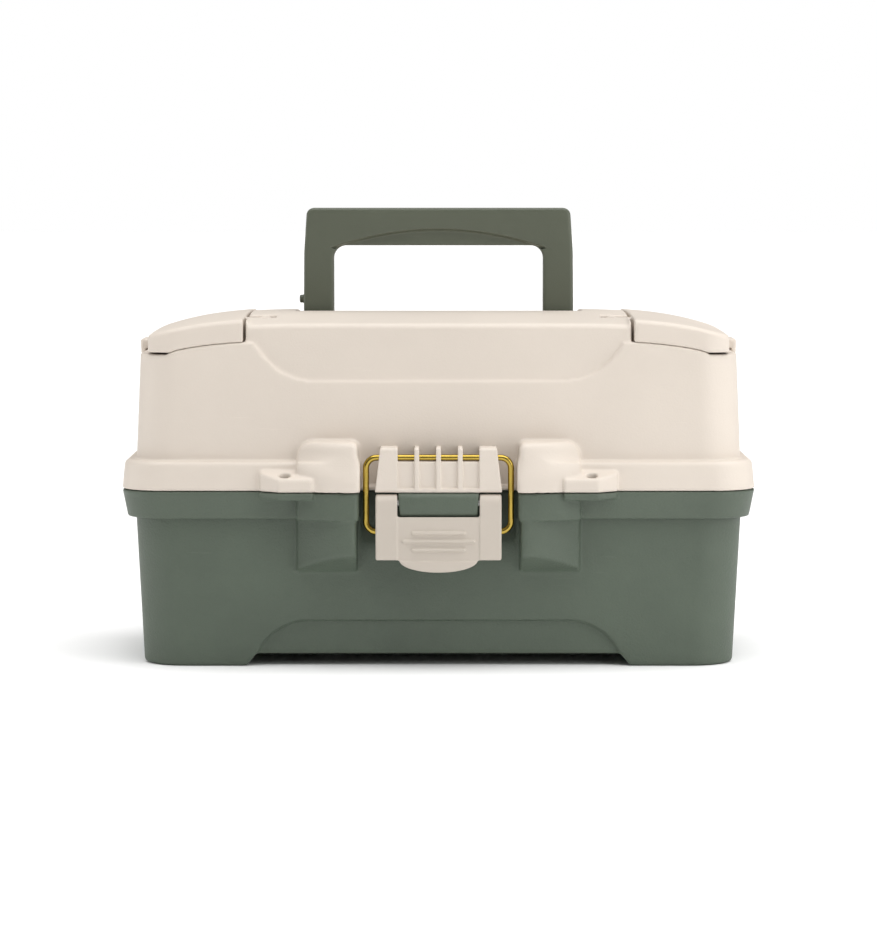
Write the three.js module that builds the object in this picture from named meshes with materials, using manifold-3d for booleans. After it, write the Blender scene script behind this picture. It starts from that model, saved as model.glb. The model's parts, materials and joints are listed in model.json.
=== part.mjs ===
// A fishing tackle box: a tub, a lid with two top doors and a fold-down handle, a wire draw latch,
// and two cantilever trays that are lifted up and back as the lid opens.
// X runs along the length, Y from front to back and Z up, in millimetres.
import * as THREE from "three";
import { mergeVertices } from "three/addons/utils/BufferGeometryUtils.js";
import Module from "manifold-3d";

const wasm = await Module();
wasm.setup();

// ---- Driving dimensions -----------------------------------------------------------------------
const GAP = 0.3; // between neighbouring pieces
const WALL = 2.4; // moulded wall thickness
const CORNER = 25; // plan radius of the box's four corners
const SIDES = 14; // facets of a pin or a bore
const DEPTH_SHIFT = 3; // puts the middle of the whole depth, latch and hinges included, on Y = 0
const HEIGHT_SHIFT = 1.6; // heights are written from a plane this far above the ground
const GROUND = -HEIGHT_SHIFT;

// Tub and lid, as [height, half length, half depth] levels of a rounded rectangle
const SEAM = 100;
const LID_BOTTOM = SEAM + GAP + 0.1;
const TUB_WALL = [
  [GROUND, 167.6, 77.2],
  [GROUND + 1, 169.3, 78.6],
  [GROUND + 3.2, 170.4, 79.3],
  [SEAM, 175.2, 84],
];
const TUB_SKIRT = [[84, 178.8, 88.1], [SEAM, 181.7, 91]];
const LID_BAND = [
  [LID_BOTTOM, 181.7, 91],
  [113.6, 180.4, 89.8],
  [115.6, 179.4, 88.8],
  [116.6, 177.4, 86.8],
  [117.3, 174, 83.4],
];
const LID_WALL = [[LID_BOTTOM, 174.6, 84.1], [205, 170.3, 79.8]];

// Feet: the front, back and end walls are set back between them, and the floor is raised
const FLOOR_UNDERSIDE = 5.3;
const RECESS_TOP = 24.8; // height of the set-back panels
const SET_BACK = { x: 167.6, y: 76.7 }; // planes of those set-back panels
const FOOT_INNER = { front: 110, end: 44 }; // where a foot starts, from the middle of its side
// Edge of a set-back panel: how far it has leant in from the foot, at each height
const ARCH = [
  [0, GROUND],
  [5.6, FLOOR_UNDERSIDE],
  [10.2, 12.6],
  [15.5, 18],
  [21.9, 21.8],
  [27.8, 24],
  [33.6, RECESS_TOP],
];

// Lid top
const TOP = 200;
const TOP_FILLET = 3.2;
const CROWN = { middle: 5.5, doors: 2.6 }; // fall of the top from its middle to its front and back edges
const DOME_START = 66; // beyond this the top falls in an elliptical curve to the ends
const DOME_RUN = 104;
const DOME_FALL = 13.2;
const PANEL = { high: 193.5, bottom: 162.5, depth: 2.4 }; // set-back panel of the lid front
const PANEL_EDGE = [
  [110.5, 185.1],
  [105.6, 184.1],
  [102.1, 179.7],
  [98.6, 175.2],
  [91.5, 168.5],
  [86.2, 165.8],
  [80.9, 163.7],
  [73.9, PANEL.bottom],
];

// Top doors
const DOOR = { inner: 111.5, outer: 166.2, low: 178.3, high: 185, bend: 153, wall: 2.4 };
const DOOR_AXIS = { x: 100, z: 194 };
const DOOR_ARM_Y = 45;
const DOOR_PIN = 22;
const WELL = { inner: 113.8, outer: 166.3, halfDepth: 77.6, floor: 158.4 };

// Handle
const HANDLE = { half: 79.4, opening: 61.6, top: 260, openingTop: 238, front: -9.5, back: 5.5 };
const HANDLE_PIVOT = { y: -2, z: 191, radius: 2.5 };
const HANDLE_WELL = { half: 83.4, front: -12, back: 72, floor: 182.5 };

// Latch
const BOSS = { inner: 44.2, outer: 80.8, front: -105, rim: 0.9, skirt: 2.3, step: 108.5 };
const RIM_CURVE = { reach: 8, power: 2.4 }; // how a boss's front falls back, by the rims and beyond them
const BODY_CURVE = { reach: 16, power: 1.7 };
const BAY = { back: -78, low: 64, high: 80 }; // beside the latch the tub's front is set back, above a slope
const LEVER_PIVOT = { y: -98.2, z: 94.2, radius: 1.8 };
const BAIL_PIVOT = { y: -96.4, z: 77.8 };
const BAIL = { half: 41.1, barZ: 119.8, radius: 1.75, bend: 7 };
const LEVER = { half: 35.7, front: -103, bottom: 62, window: 23.3, windowBottom: 86.4, tab: 54.9 };
const KEEPER = { half: 36.1, halfTop: 33, top: 125.5, front: -100.7, slotFront: -98.5, slotBack: -94.3 };
const KEEPER_RIBS = [[-36.1, -23.1], [-13.7, -10.9], [-1.4, 1.4], [10.9, 13.7], [23.1, 36.1]];
const TAB = { inner: 70.8, bend: 90.5, outer: 101.6, side: -94, front: -103 };
const TAB_HOLE = { x: 87, y: -96.5, radius: 3.1 };

// Rear hinges
const HINGE = { y: 94.5, z: 100.2, radius: 4.5, pin: 1.6, x: 95, tub: 8, lid: 18 };

// Tray linkage: arm and lid bracket turn together, so each tray stays level
const ARM_PIVOT = { y: 48, z: 88 };
const BRACKET_LOW = { y: 26.5, z: 89.2 };
const TRAY_STEP = { y: -44, z: 33 }; // from the lower tray's pivots to the upper tray's
const LINK = { y: ARM_PIVOT.y - HINGE.y, z: ARM_PIVOT.z - HINGE.z }; // bracket pivot to arm pivot
const BRACKET_SCREWS = [{ y: -16, z: 136 }, { y: 24, z: 130 }];
const BRACKET_X = [163.6, 165.6];
const ARM_X = [166.2, 168.2];
const RIVET = 2;
const TRAY = { half: 162.8, front: -74.5, height: 34, wall: 2, floor: 1.6, corner: 6 };
const LOWER_TRAY = { bottom: 68, back: 70, partition: -3 };
const UPPER_TRAY = { bottom: 106, back: 10, partition: -33 };
const DIVIDER = 1.6;

// ---- Solids from three.js geometry --------------------------------------------------------------
function solid(geometry) {
  geometry.deleteAttribute("normal");
  geometry.deleteAttribute("uv");
  const merged = mergeVertices(geometry, 1e-4);
  return new wasm.Manifold(
    new wasm.Mesh({
      numProp: 3,
      vertProperties: merged.attributes.position.array,
      triVerts: new Uint32Array(merged.index.array),
    }),
  );
}

const join = (solids) => solids.reduce((sum, next) => sum.add(next));

function box(x0, x1, y0, y1, z0, z1) {
  const geometry = new THREE.BoxGeometry(Math.abs(x1 - x0), y1 - y0, z1 - z0);
  return solid(geometry.translate((x0 + x1) / 2, (y0 + y1) / 2, (z0 + z1) / 2));
}

// A rod along one axis; a and b are its place on the other two axes, in X, Y, Z order.
function rod(axis, from, to, a, b, radius, sides = SIDES) {
  const geometry = new THREE.CylinderGeometry(radius, radius, Math.abs(to - from), sides);
  const middle = (from + to) / 2;
  if (axis === "x") geometry.rotateZ(Math.PI / 2).translate(middle, a, b);
  if (axis === "y") geometry.translate(a, middle, b);
  if (axis === "z") geometry.rotateX(Math.PI / 2).translate(a, b, middle);
  return solid(geometry);
}

// Points of an arc, in degrees, both ends included.
function arc(a, b, radius, from, to, steps = 5) {
  const points = [];
  for (let i = 0; i <= steps; i += 1) {
    const angle = THREE.MathUtils.degToRad(from + ((to - from) * i) / steps);
    points.push([a + radius * Math.cos(angle), b + radius * Math.sin(angle)]);
  }
  return points;
}

function roundedRectangle(halfA, halfB, radius, steps = 5) {
  return [
    ...arc(halfA - radius, halfB - radius, radius, 0, 90, steps),
    ...arc(radius - halfA, halfB - radius, radius, 90, 180, steps),
    ...arc(radius - halfA, radius - halfB, radius, 180, 270, steps),
    ...arc(halfA - radius, radius - halfB, radius, 270, 360, steps),
  ];
}

// An outline stretched over a row of stations: place(station, a, b) gives each point's X, Y, Z.
function loft(points, stations, place) {
  const shape = new THREE.Shape(points.map(([a, b]) => new THREE.Vector2(a, b)));
  const steps = stations.length - 1;
  const geometry = new THREE.ExtrudeGeometry(shape, { depth: 1, steps, bevelEnabled: false });
  const position = geometry.getAttribute("position");
  for (let i = 0; i < position.count; i += 1) {
    const station = stations[Math.round(position.getZ(i) * steps)];
    position.setXYZ(i, ...place(station, position.getX(i), position.getY(i)));
  }
  return solid(geometry);
}

const prismX = (points, x0, x1) => loft(points, [x0, x1], (x, a, b) => [x, a, b]); // points are Y, Z
const prismY = (points, y0, y1) => loft(points, [y1, y0], (y, a, b) => [a, y, b]); // points are X, Z
const prismZ = (points, z0, z1) => loft(points, [z0, z1], (z, a, b) => [a, b, z]); // points are X, Y

// A box with rounded corners through [height, half length, half depth] levels.
function tapered(levels, radius = CORNER) {
  const [, halfX, halfY] = levels[0];
  return loft(roundedRectangle(halfX, halfY, radius), levels, ([z, x, y], a, b) => [
    a + Math.sign(a) * (x - halfX),
    b + Math.sign(b) * (y - halfY),
    z,
  ]);
}

const SIGNS = [-1, 1];
const bothSides = (make) => join(SIGNS.map(make));
const mirrored = (points, side) => points.map(([x, b]) => [side * x, b]);

// ---- Tub ----------------------------------------------------------------------------------------
// The outline of a set-back panel between two feet, from the ground to its straight top.
function archOutline(half) {
  const right = ARCH.map(([inset, z]) => [half - inset, z]);
  const left = right.map(([a, z]) => [-a, z]).reverse();
  return [[-half - 0.8, GROUND - 1], [half + 0.8, GROUND - 1], ...right, ...left];
}

function feetCut() {
  const front = archOutline(FOOT_INNER.front);
  const end = archOutline(FOOT_INNER.end);
  const [lean] = ARCH[1];
  const channel = (half) => [
    [-half - 0.8, GROUND - 1],
    [half + 0.8, GROUND - 1],
    [half - lean, FLOOR_UNDERSIDE],
    [lean - half, FLOOR_UNDERSIDE],
  ];
  return join([
    prismY(front, -100, -SET_BACK.y),
    prismY(front, SET_BACK.y, 100),
    prismX(end, SET_BACK.x, 190),
    prismX(end, -190, -SET_BACK.x),
    prismY(channel(FOOT_INNER.front), -100, 100),
    prismX(channel(FOOT_INNER.end), -190, 190),
  ]);
}

function tubCavity() {
  const low = [SET_BACK.x - WALL, SET_BACK.y - WALL];
  const main = tapered(
    [
      [FLOOR_UNDERSIDE + WALL, ...low],
      [RECESS_TOP + 2, ...low],
      [RECESS_TOP + 6, 168.8, 78.3],
      [SEAM + 1, 172.1, 81.6],
    ],
    CORNER - WALL,
  );
  const footTop = FLOOR_UNDERSIDE + WALL + 1;
  const pockets = bothSides((sx) =>
    bothSides((sy) => {
      const y = [sy * (FOOT_INNER.end + WALL), sy * 80].sort((a, b) => a - b);
      return box(sx * (FOOT_INNER.front + WALL), sx * 170, y[0], y[1], GROUND + WALL, footTop);
    }),
  );
  return main.add(tapered([[GROUND + WALL, ...low], [footTop, ...low]], CORNER - WALL).intersect(pockets));
}

// Plan of one latch boss: a straight inner side, and a front that curves back to a crisp outer edge.
function bossPlan(side, inset, outer, back, { reach, power }) {
  const inner = BOSS.inner + inset;
  const front = BOSS.front + inset;
  const curve = [];
  for (let t = 0; t <= 1.01; t += 0.2) {
    curve.push([inner + 3 + (outer - inner - 3) * t, front + reach * t ** power]);
  }
  const start = [[inner, back], [inner, front + 2.5], [inner + 0.9, front + 0.8]];
  return mirrored([...start, ...curve, [outer, back]], side);
}

// The lower boss: its underside falls towards the wall.
function tubBoss(side, inset, outer, back, lift) {
  const edges = [side * 40, side * 90].sort((a, b) => a - b);
  const under = [[-112, 69.8 + lift], [-70, 46.3 + lift], [-70, 20], [-112, 20]];
  return prismZ(bossPlan(side, inset, outer, back, BODY_CURVE), 40, SEAM).subtract(prismX(under, ...edges));
}

function padlockTab(side, z0, z1) {
  const { inner, bend, outer, front } = TAB;
  const plan = [[inner, -86], [inner, front], [bend, front], [outer, TAB.side], [outer, -86]];
  return prismZ(mirrored(plan, side), z0, z1);
}

const padlockBore = (side) => rod("z", 90, 114, side * TAB_HOLE.x, TAB_HOLE.y, TAB_HOLE.radius);

// One leaf of a rear hinge: a knuckle and the web that joins it to its rim.
function hingeLeaf(x, inner, outer, web) {
  return join([
    rod("x", x + inner, x + outer, HINGE.y, HINGE.z, HINGE.radius),
    prismX(web, x + inner, x + outer),
  ]);
}

const hingeRoom = (x, inner, outer) => rod("x", x + inner, x + outer, HINGE.y, HINGE.z, HINGE.radius + 0.5);
const hingeBore = (x) => rod("x", x - 30, x + 30, HINGE.y, HINGE.z, HINGE.pin + GAP);

function tub() {
  const skirt = tapered(TUB_SKIRT)
    .subtract(tapered([[80, 175.5, 84.8], [SEAM - WALL, 179.2, 88.5]], CORNER - WALL))
    .subtract(box(-BOSS.inner, BOSS.inner, -120, -82, 80, SEAM + 1));
  const bay = (half, back, low) =>
    prismX(
      [
        [-95, BAY.low - low],
        [-85, BAY.low - low],
        [back, BAY.high - low],
        [back, SEAM + 2],
        [-95, SEAM + 2],
      ],
      -half,
      half,
    );
  const hollow = tubCavity()
    .subtract(bay(BOSS.inner + WALL, BAY.back + WALL, 4))
    .add(bothSides((side) => tubBoss(side, BOSS.skirt + WALL, BOSS.outer - WALL, -76, WALL)))
    .add(
      bothSides((side) => {
        const plan = bossPlan(side, BOSS.skirt + WALL, BOSS.outer - WALL, -76, BODY_CURVE);
        return prismZ(plan, SEAM - 10, SEAM + 1);
      }),
    );
  const shell = join([
    tapered(TUB_WALL).subtract(feetCut()),
    skirt,
    bothSides((side) => tubBoss(side, BOSS.skirt, BOSS.outer, -80, 0)),
    bothSides((side) =>
      prismZ(bossPlan(side, BOSS.rim, BOSS.outer, -80, RIM_CURVE), TUB_SKIRT[0][0], SEAM),
    ),
    bothSides((side) => padlockTab(side, SEAM - 4.2, SEAM)),
  ]).subtract(hollow.add(bay(BOSS.inner + 0.2, BAY.back, 0)));
  const latchBlock = [[-77, 86.8], [-98.5, 86.8], [-102.4, 91], [-102.4, 97], [-100, SEAM], [-77, SEAM]];
  const web = [[88, 86], [98, 97.3], [94.5, HINGE.z], [88, SEAM]];
  const end = LEVER.window - GAP;
  const armPosts = bothSides((side) => rod("x", side * 168.8, side * 173, ARM_PIVOT.y, ARM_PIVOT.z, 6));
  const leaves = SIGNS.map((s) => hingeLeaf(s * HINGE.x, -HINGE.tub, HINGE.tub, web));
  const added = join([shell, prismX(latchBlock, -end, end), armPosts, ...leaves]);
  return added.subtract(
    join([
      bothSides(padlockBore),
      rod("x", -30, 30, LEVER_PIVOT.y, LEVER_PIVOT.z, LEVER_PIVOT.radius + GAP),
      bothSides((side) => rod("x", side * 168, side * 172.4, ARM_PIVOT.y, ARM_PIVOT.z, RIVET + GAP)),
      ...SIGNS.flatMap((s) => [
        hingeBore(s * HINGE.x),
        hingeRoom(s * HINGE.x, HINGE.tub, HINGE.lid + 0.4),
        hingeRoom(s * HINGE.x, -HINGE.lid - 0.4, -HINGE.tub),
      ]),
    ]),
  );
}

// ---- Lid ----------------------------------------------------------------------------------------
// How far the top has fallen below its middle at x.
function domeDrop(x) {
  const t = Math.min(Math.max(Math.abs(x) - DOME_START, 0) / DOME_RUN, 1);
  return DOME_FALL * (1 - Math.sqrt(1 - t * t));
}

// The domed upper body: the tapered wall under a crowned top with rounded front and back edges.
function domed(inset) {
  const edge = 80.35 - inset;
  const top = TOP - inset;
  const right = arc(edge - TOP_FILLET, top - TOP_FILLET, TOP_FILLET, 0, 90, 4);
  for (const y of [60, 44, 28, 10]) right.push([y, top]);
  const left = right.map(([y, z]) => [-y, z]).reverse();
  const section = [[-86 + inset, 90], [86 - inset, 90], ...right, ...left];
  const half = [0, 20, 38, 54, 69, 81].map(
    (angle) => DOME_START + DOME_RUN * Math.sin(THREE.MathUtils.degToRad(angle)),
  );
  half.push(107.5, 110.8, 176);
  half.sort((a, b) => a - b);
  const stations = [...half.map((x) => -x).reverse(), ...half];
  const crown = loft(section, stations, (x, y, z) => {
    const fall = Math.abs(x) > 109 ? CROWN.doors : CROWN.middle;
    return [x, y, z > 150 ? z - domeDrop(x) - fall * (y / 80) ** 2 : z];
  });
  const wall = LID_WALL.map(([z, x, y]) => [z, x - inset, y - inset]);
  return tapered(wall, CORNER - inset).intersect(crown);
}

// Side outline of everything a top door covers, from its inner end, dropped by a gap.
function doorOutline(side, inner, drop) {
  const low = [];
  for (let t = 0; t <= 1.01; t += 0.2) {
    const x = DOOR.inner + (DOOR.bend - DOOR.inner) * t;
    low.push([x, DOOR.high - (DOOR.high - DOOR.low) * (0.3 * t + 0.7 * t ** 2.4) - drop]);
  }
  const start = inner < DOOR.inner ? [[inner, DOOR.high - drop]] : [];
  const end = DOOR.low - 2.5 * drop;
  return mirrored([...start, ...low, [DOOR.bend + 3, end], [185, end], [185, 210], [inner, 210]], side);
}

// The upper boss: level with the rim's boss up to a step, then set back, with rounded top corners.
function lidBoss(side, inset, back) {
  const top = 128.7 - inset;
  const front = BOSS.front + inset;
  const bottom = inset > 0 ? SEAM - 5 : LID_BOTTOM;
  const edge = 3;
  const profile = [
    [front, bottom],
    ...arc(front + 1.2 + edge, top - edge, edge, 180, 100, 4),
    [back, top + 0.6],
    [back, bottom],
  ];
  const inner = BOSS.inner + inset;
  const outer = BOSS.outer - inset;
  const face = [
    [inner, bottom],
    [outer, bottom],
    ...arc(outer - 9, top - 8, 9, 0, 90),
    ...arc(inner + 4, top - 3, 4, 90, 180, 3),
  ];
  return prismZ(bossPlan(side, inset, outer, back, RIM_CURVE), bottom, BOSS.step - inset)
    .add(prismZ(bossPlan(side, inset + 1.2, outer, back, BODY_CURVE), bottom, top + 2))
    .intersect(prismX(profile, side > 0 ? 30 : -90, side > 0 ? 90 : -30))
    .intersect(prismY(mirrored(face, side), -110, back));
}

function panelCut() {
  const [half] = PANEL_EDGE[0];
  const left = PANEL_EDGE.map(([x, z]) => [-x, z]).reverse();
  const face = prismY([...PANEL_EDGE, ...left, [-half, PANEL.high], [half, PANEL.high]], -95, -70);
  const lean = (LID_WALL[0][2] - LID_WALL[1][2]) / (LID_WALL[1][0] - LID_WALL[0][0]);
  const plane = (z) => -(LID_WALL[0][2] - lean * (z - LID_WALL[0][0])) + PANEL.depth;
  return face.intersect(prismX([[-95, 150], [plane(150), 150], [plane(200), 200], [-95, 200]], -120, 120));
}

function keeper() {
  const { front, slotFront, slotBack, top } = KEEPER;
  const foot = BAIL.barZ - BAIL.radius - GAP;
  const profile = [
    [-82, LID_BOTTOM],
    [front, LID_BOTTOM],
    [front, top - 1.5],
    [front + 0.9, top],
    [slotFront, top],
    [slotFront, foot],
    [slotBack, foot],
    [slotBack, top - 1],
    [slotBack + 1.5, top],
    [-82, top],
  ];
  const ribs = KEEPER_RIBS.map(([x0, x1]) => prismX(profile, x0, x1));
  const plate = box(-24, 24, front + 1.8, front + 4.2, LID_BOTTOM, 117.7);
  const ledge = box(-24, 24, front, -82, LID_BOTTOM, 102.6);
  const outline = [
    [-KEEPER.half, SEAM],
    [KEEPER.half, SEAM],
    [KEEPER.halfTop, top + 1],
    [-KEEPER.halfTop, top + 1],
  ];
  return join([...ribs, plate, ledge]).intersect(prismY(outline, -110, -80));
}

// The room the handle folds into, grown by a margin.
function handleRoom(margin, top) {
  const { half, front, back, floor } = HANDLE_WELL;
  return box(-half - margin, half + margin, front - margin, back + margin, floor - margin, top);
}

// What the lid's hollow leaves standing: the compartments' walls and floors and the pivot blocks.
function lidInsides() {
  const w = WALL;
  return join([
    handleRoom(w, TOP),
    bothSides((side) => box(side * 80, side * 90, -10, 6, HANDLE_PIVOT.z - 8, TOP)),
    bothSides((side) => box(side * (WELL.inner - w), side * 180, -90, 90, WELL.floor - w, TOP)),
    bothSides((side) => box(side * 107.8, side * 115, -90, 90, WELL.floor - w, TOP)),
    ...SIGNS.flatMap((side) => SIGNS.map((end) => doorPivotBlock(side, end))),
  ]);
}

function doorPivotBlock(side, end) {
  return box(side * 91.6, side * 112, end * DOOR_ARM_Y - 13, end * DOOR_ARM_Y + 13, DOOR_AXIS.z - 8, TOP);
}

// The room a door's hinge arm turns in, and the bore of its pin.
function doorPivotCut(side, end) {
  const y = end * DOOR_ARM_Y;
  return join([
    box(side * 93.8, side * 113, y - 6.2, y + 6.2, DOOR_AXIS.z - 4.8, 210),
    rod("y", y - DOOR_PIN / 2 - GAP, y + DOOR_PIN / 2 + GAP, side * DOOR_AXIS.x, DOOR_AXIS.z, 1.8),
  ]);
}

function lid() {
  const bay = (half) => box(-half, half, -120, -82, 95, 120);
  const band = tapered(LID_BAND).subtract(bay(BOSS.inner));
  const outer = join([
    band,
    box(-BOSS.inner - 1, BOSS.inner + 1, -87, -82, LID_BOTTOM, 102.8),
    domed(0).subtract(panelCut()),
    bothSides((side) => lidBoss(side, 0, -78)),
    bothSides((side) => padlockTab(side, LID_BOTTOM, 114).intersect(tabSlope())),
  ]);
  const bandInner = tapered(
    [[SEAM - 1, 179.4, 88.7], [113.2, 178.1, 87.5], [114.9, 171.9, 81.3]],
    CORNER - WALL,
  ).subtract(bay(BOSS.inner + WALL));
  const roomy = bandInner.add(domed(WALL)).subtract(lidInsides());
  const wellPlan = tapered(
    [[WELL.floor, WELL.outer, WELL.halfDepth], [190, WELL.outer, WELL.halfDepth]],
    CORNER - 5,
  );
  const wellBox = (side) => box(side * WELL.inner, side * 190, -90, 90, WELL.floor, 186);
  const wells = bothSides(wellBox).intersect(wellPlan);
  const panelBack = box(-112.5, 112.5, -90, -WELL.halfDepth + 1.2, PANEL.bottom - 2, TOP);
  const hollow = join([
    roomy.subtract(panelBack),
    bothSides((side) => lidBoss(side, WALL, -75)),
  ]);
  const web = [[87, 114], [97.5, 104], [HINGE.y, HINGE.z], [87, LID_BOTTOM]];
  const leaves = SIGNS.flatMap((s) => [
    hingeLeaf(s * HINGE.x, HINGE.tub + GAP, HINGE.lid, web),
    hingeLeaf(s * HINGE.x, -HINGE.lid, -HINGE.tub - GAP, web),
  ]);
  const posts = SIGNS.flatMap((s) =>
    BRACKET_SCREWS.map(({ y, z }) => rod("x", s * (BRACKET_X[1] + GAP), s * 173, y, z, 4)),
  );
  const added = join([outer.subtract(hollow), keeper(), ...leaves, ...posts]);
  const wellChamfer = [[111, TOP - 3.4], [111, TOP + 1], [106.5, TOP + 1]];
  const { y, z } = HANDLE_PIVOT;
  return added.subtract(
    join([
      wells,
      bothSides((side) => prismY(doorOutline(side, DOOR.inner - 1.3, 0.4), -100, 100)),
      bothSides((side) => prismY(mirrored(wellChamfer, side), -100, 100)),
      ...SIGNS.flatMap((side) => SIGNS.map((end) => doorPivotCut(side, end))),
      handleRoom(0, 210),
      bothSides((side) => rod("x", side * 80, side * 87.6, y, z, HANDLE_PIVOT.radius + GAP)),
      bothSides(padlockBore),
      ...SIGNS.map((s) => hingeBore(s * HINGE.x)),
      ...SIGNS.map((s) => hingeRoom(s * HINGE.x, -HINGE.tub - GAP, HINGE.tub + GAP)),
      ...SIGNS.flatMap((s) => BRACKET_SCREWS.map(({ y, z }) => rod("x", s * 160, s * 171.4, y, z, 1.8))),
    ]),
  );
}

function tabSlope() {
  const side = [[-110, 95], [-110, 104], [TAB.front, 107.6], [-88, 113], [-80, 113], [-80, 95]];
  return prismX(side, -120, 120);
}

// ---- Top doors ----------------------------------------------------------------------------------
function door(side) {
  const sheet = (inset) => {
    const ends = DOOR.outer - inset;
    return domed(inset).intersect(box(-ends, ends, -90, 90, 160, 210));
  };
  const skin = sheet(0).intersect(prismY(doorOutline(side, DOOR.inner, 0), -100, 100));
  const inside = box(side * (DOOR.inner + DOOR.wall), side * 175, -90, 90, 170, 205);
  const hollow = sheet(DOOR.wall).intersect(inside);
  const tab = join([
    box(side * 164.5, side * 175, -14, 14, 178.3, 183.1),
    box(side * 172.2, side * 175, -14, 14, 174.2, 183.1),
  ]);
  const arms = SIGNS.map((end) => {
    const y = end * DOOR_ARM_Y;
    const root = DOOR.inner + DOOR.wall - 0.4;
    return box(side * DOOR_AXIS.x, side * root, y - 5.6, y + 5.6, DOOR_AXIS.z - 3.6, DOOR_AXIS.z + 3).add(
      rod("y", y - 5.6, y + 5.6, side * DOOR_AXIS.x, DOOR_AXIS.z, 4),
    );
  });
  const bores = SIGNS.map((end) =>
    rod("y", end * DOOR_ARM_Y - 8, end * DOOR_ARM_Y + 8, side * DOOR_AXIS.x, DOOR_AXIS.z, 1.8),
  );
  return join([skin.subtract(hollow), tab, ...arms]).subtract(join(bores));
}

// ---- Handle -------------------------------------------------------------------------------------
function handle() {
  const { half, opening, top, openingTop, front, back } = HANDLE;
  const { y, z } = HANDLE_PIVOT;
  const reach = (back - front) / 2;
  const low = z - reach;
  const outline = [
    [-half, low],
    [-half, 234],
    ...arc(4.5 - half + 1.6, top - 4.5, 4.5, 180, 90, 3),
    ...arc(half - 1.6 - 4.5, top - 4.5, 4.5, 90, 0, 3),
    [half, 234],
    [half, low],
  ];
  const window = [
    [-opening, 180],
    ...arc(7 - opening, openingTop - 7, 7, 180, 90),
    ...arc(opening - 7, openingTop - 7, 7, 90, 0),
    [opening, 180],
  ];
  const side = [
    ...arc(y, z, reach, 180, 360, 8),
    [back, top - 2.5],
    [back - 2.5, top],
    [front + 2.5, top],
    [front, top - 2.5],
  ];
  const rise = 9;
  const scoop = [];
  for (let x = -57; x <= 57; x += 9.5) scoop.push([x, openingTop - 0.5 + rise * (1 - (x / 57) ** 2)]);
  return prismY(outline, front, back)
    .subtract(prismY(window, front - 1, back + 1))
    .intersect(prismX(side, -90, 90))
    .subtract(prismY([[-57, 236], ...scoop, [57, 236]], front - 1, front + 3))
    .subtract(bothSides((s) => rod("x", s * 69.7, s * 90, y, z, HANDLE_PIVOT.radius + GAP)));
}

// ---- Latch --------------------------------------------------------------------------------------
function lever() {
  const { half, front, bottom, window, windowBottom, tab } = LEVER;
  const { y, z } = LEVER_PIVOT;
  const back = y + 5;
  const plate = front + 2.6;
  const side = [[plate, bottom], [front, bottom], ...arc(y, z, 5, 195, 0, 8), [back, 72], [plate, 63.5]];
  const tabEdge = arc(0, 0, 1, 180, 360, 10).map(([a, b]) => [22.2 * a, bottom + (bottom - tab) * b]);
  const ribs = [[14.3, 77.4], [19.7, 72.7], [14.3, 67.9]];
  return join([
    prismX(side, -half, half).subtract(
      box(-window, window, front - 1, front + 0.6, bottom - 1, windowBottom + 1),
    ),
    prismY([[22.2, bottom + 2], [-22.2, bottom + 2], ...tabEdge], front - 0.2, plate - 0.4),
    ...ribs.map(([x, height]) => box(-x, x, front - 0.6, front + 0.8, height - 0.9, height + 0.9)),
  ]).subtract(
    join([
      box(-window, window, -120, -80, windowBottom, 120),
      box(-half + 2.6, half - 2.6, plate, -80, 40, windowBottom - 2.4),
      box(-window, window, plate, -80, 40, windowBottom + 1),
      rod("x", -40, 40, y, z, LEVER_PIVOT.radius + GAP),
      rod("x", -40, 40, BAIL_PIVOT.y, BAIL_PIVOT.z, BAIL.radius + GAP),
    ]),
  );
}

// The wire bail: one bent wire with both ends turned in to the lever.
function bail() {
  const { half, barZ, radius, bend } = BAIL;
  const { y, z } = BAIL_PIVOT;
  const at = (x, height) => new THREE.Vector3(x, y, height);
  const corners = [at(-33.8, z), at(-half, z), at(-half, barZ), at(half, barZ), at(half, z), at(33.8, z)];
  const path = new THREE.CurvePath();
  let start = corners[0];
  for (let i = 1; i < corners.length - 1; i += 1) {
    const reach = Math.min(bend, corners[i].distanceTo(corners[i === 1 ? 0 : i === 4 ? 5 : i + 1]) - 0.6);
    const before = corners[i].clone().add(corners[i - 1].clone().sub(corners[i]).setLength(reach));
    const after = corners[i].clone().add(corners[i + 1].clone().sub(corners[i]).setLength(reach));
    path.add(new THREE.LineCurve3(start, before));
    path.add(new THREE.QuadraticBezierCurve3(before, corners[i], after));
    start = after;
  }
  path.add(new THREE.LineCurve3(start, corners[5]));
  const section = new THREE.Shape(arc(0, 0, radius, 0, 315, 7).map(([a, b]) => new THREE.Vector2(a, b)));
  return solid(new THREE.ExtrudeGeometry(section, { extrudePath: path, steps: 84, bevelEnabled: false }));
}

// ---- Trays, arms and brackets -------------------------------------------------------------------
function tray({ bottom, back, partition }, pivots) {
  const { half, front, height, wall, floor, corner } = TRAY;
  const block = (x, y0, y1, z0, z1, radius) =>
    prismZ(roundedRectangle(x, (y1 - y0) / 2, radius, 3).map(([a, b]) => [a, b + (y0 + y1) / 2]), z0, z1);
  const row = (y0, y1) => block(half - wall, y0, y1, bottom + floor, bottom + height + 1, corner - wall);
  return block(half, front, back, bottom, bottom + height, corner)
    .subtract(row(front + wall, partition - wall / 2).add(row(partition + wall / 2, back - wall)))
    .subtract(join(pivots.map(({ y, z }) => rod("x", -170, 170, y, z, RIVET + GAP))));
}

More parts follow.
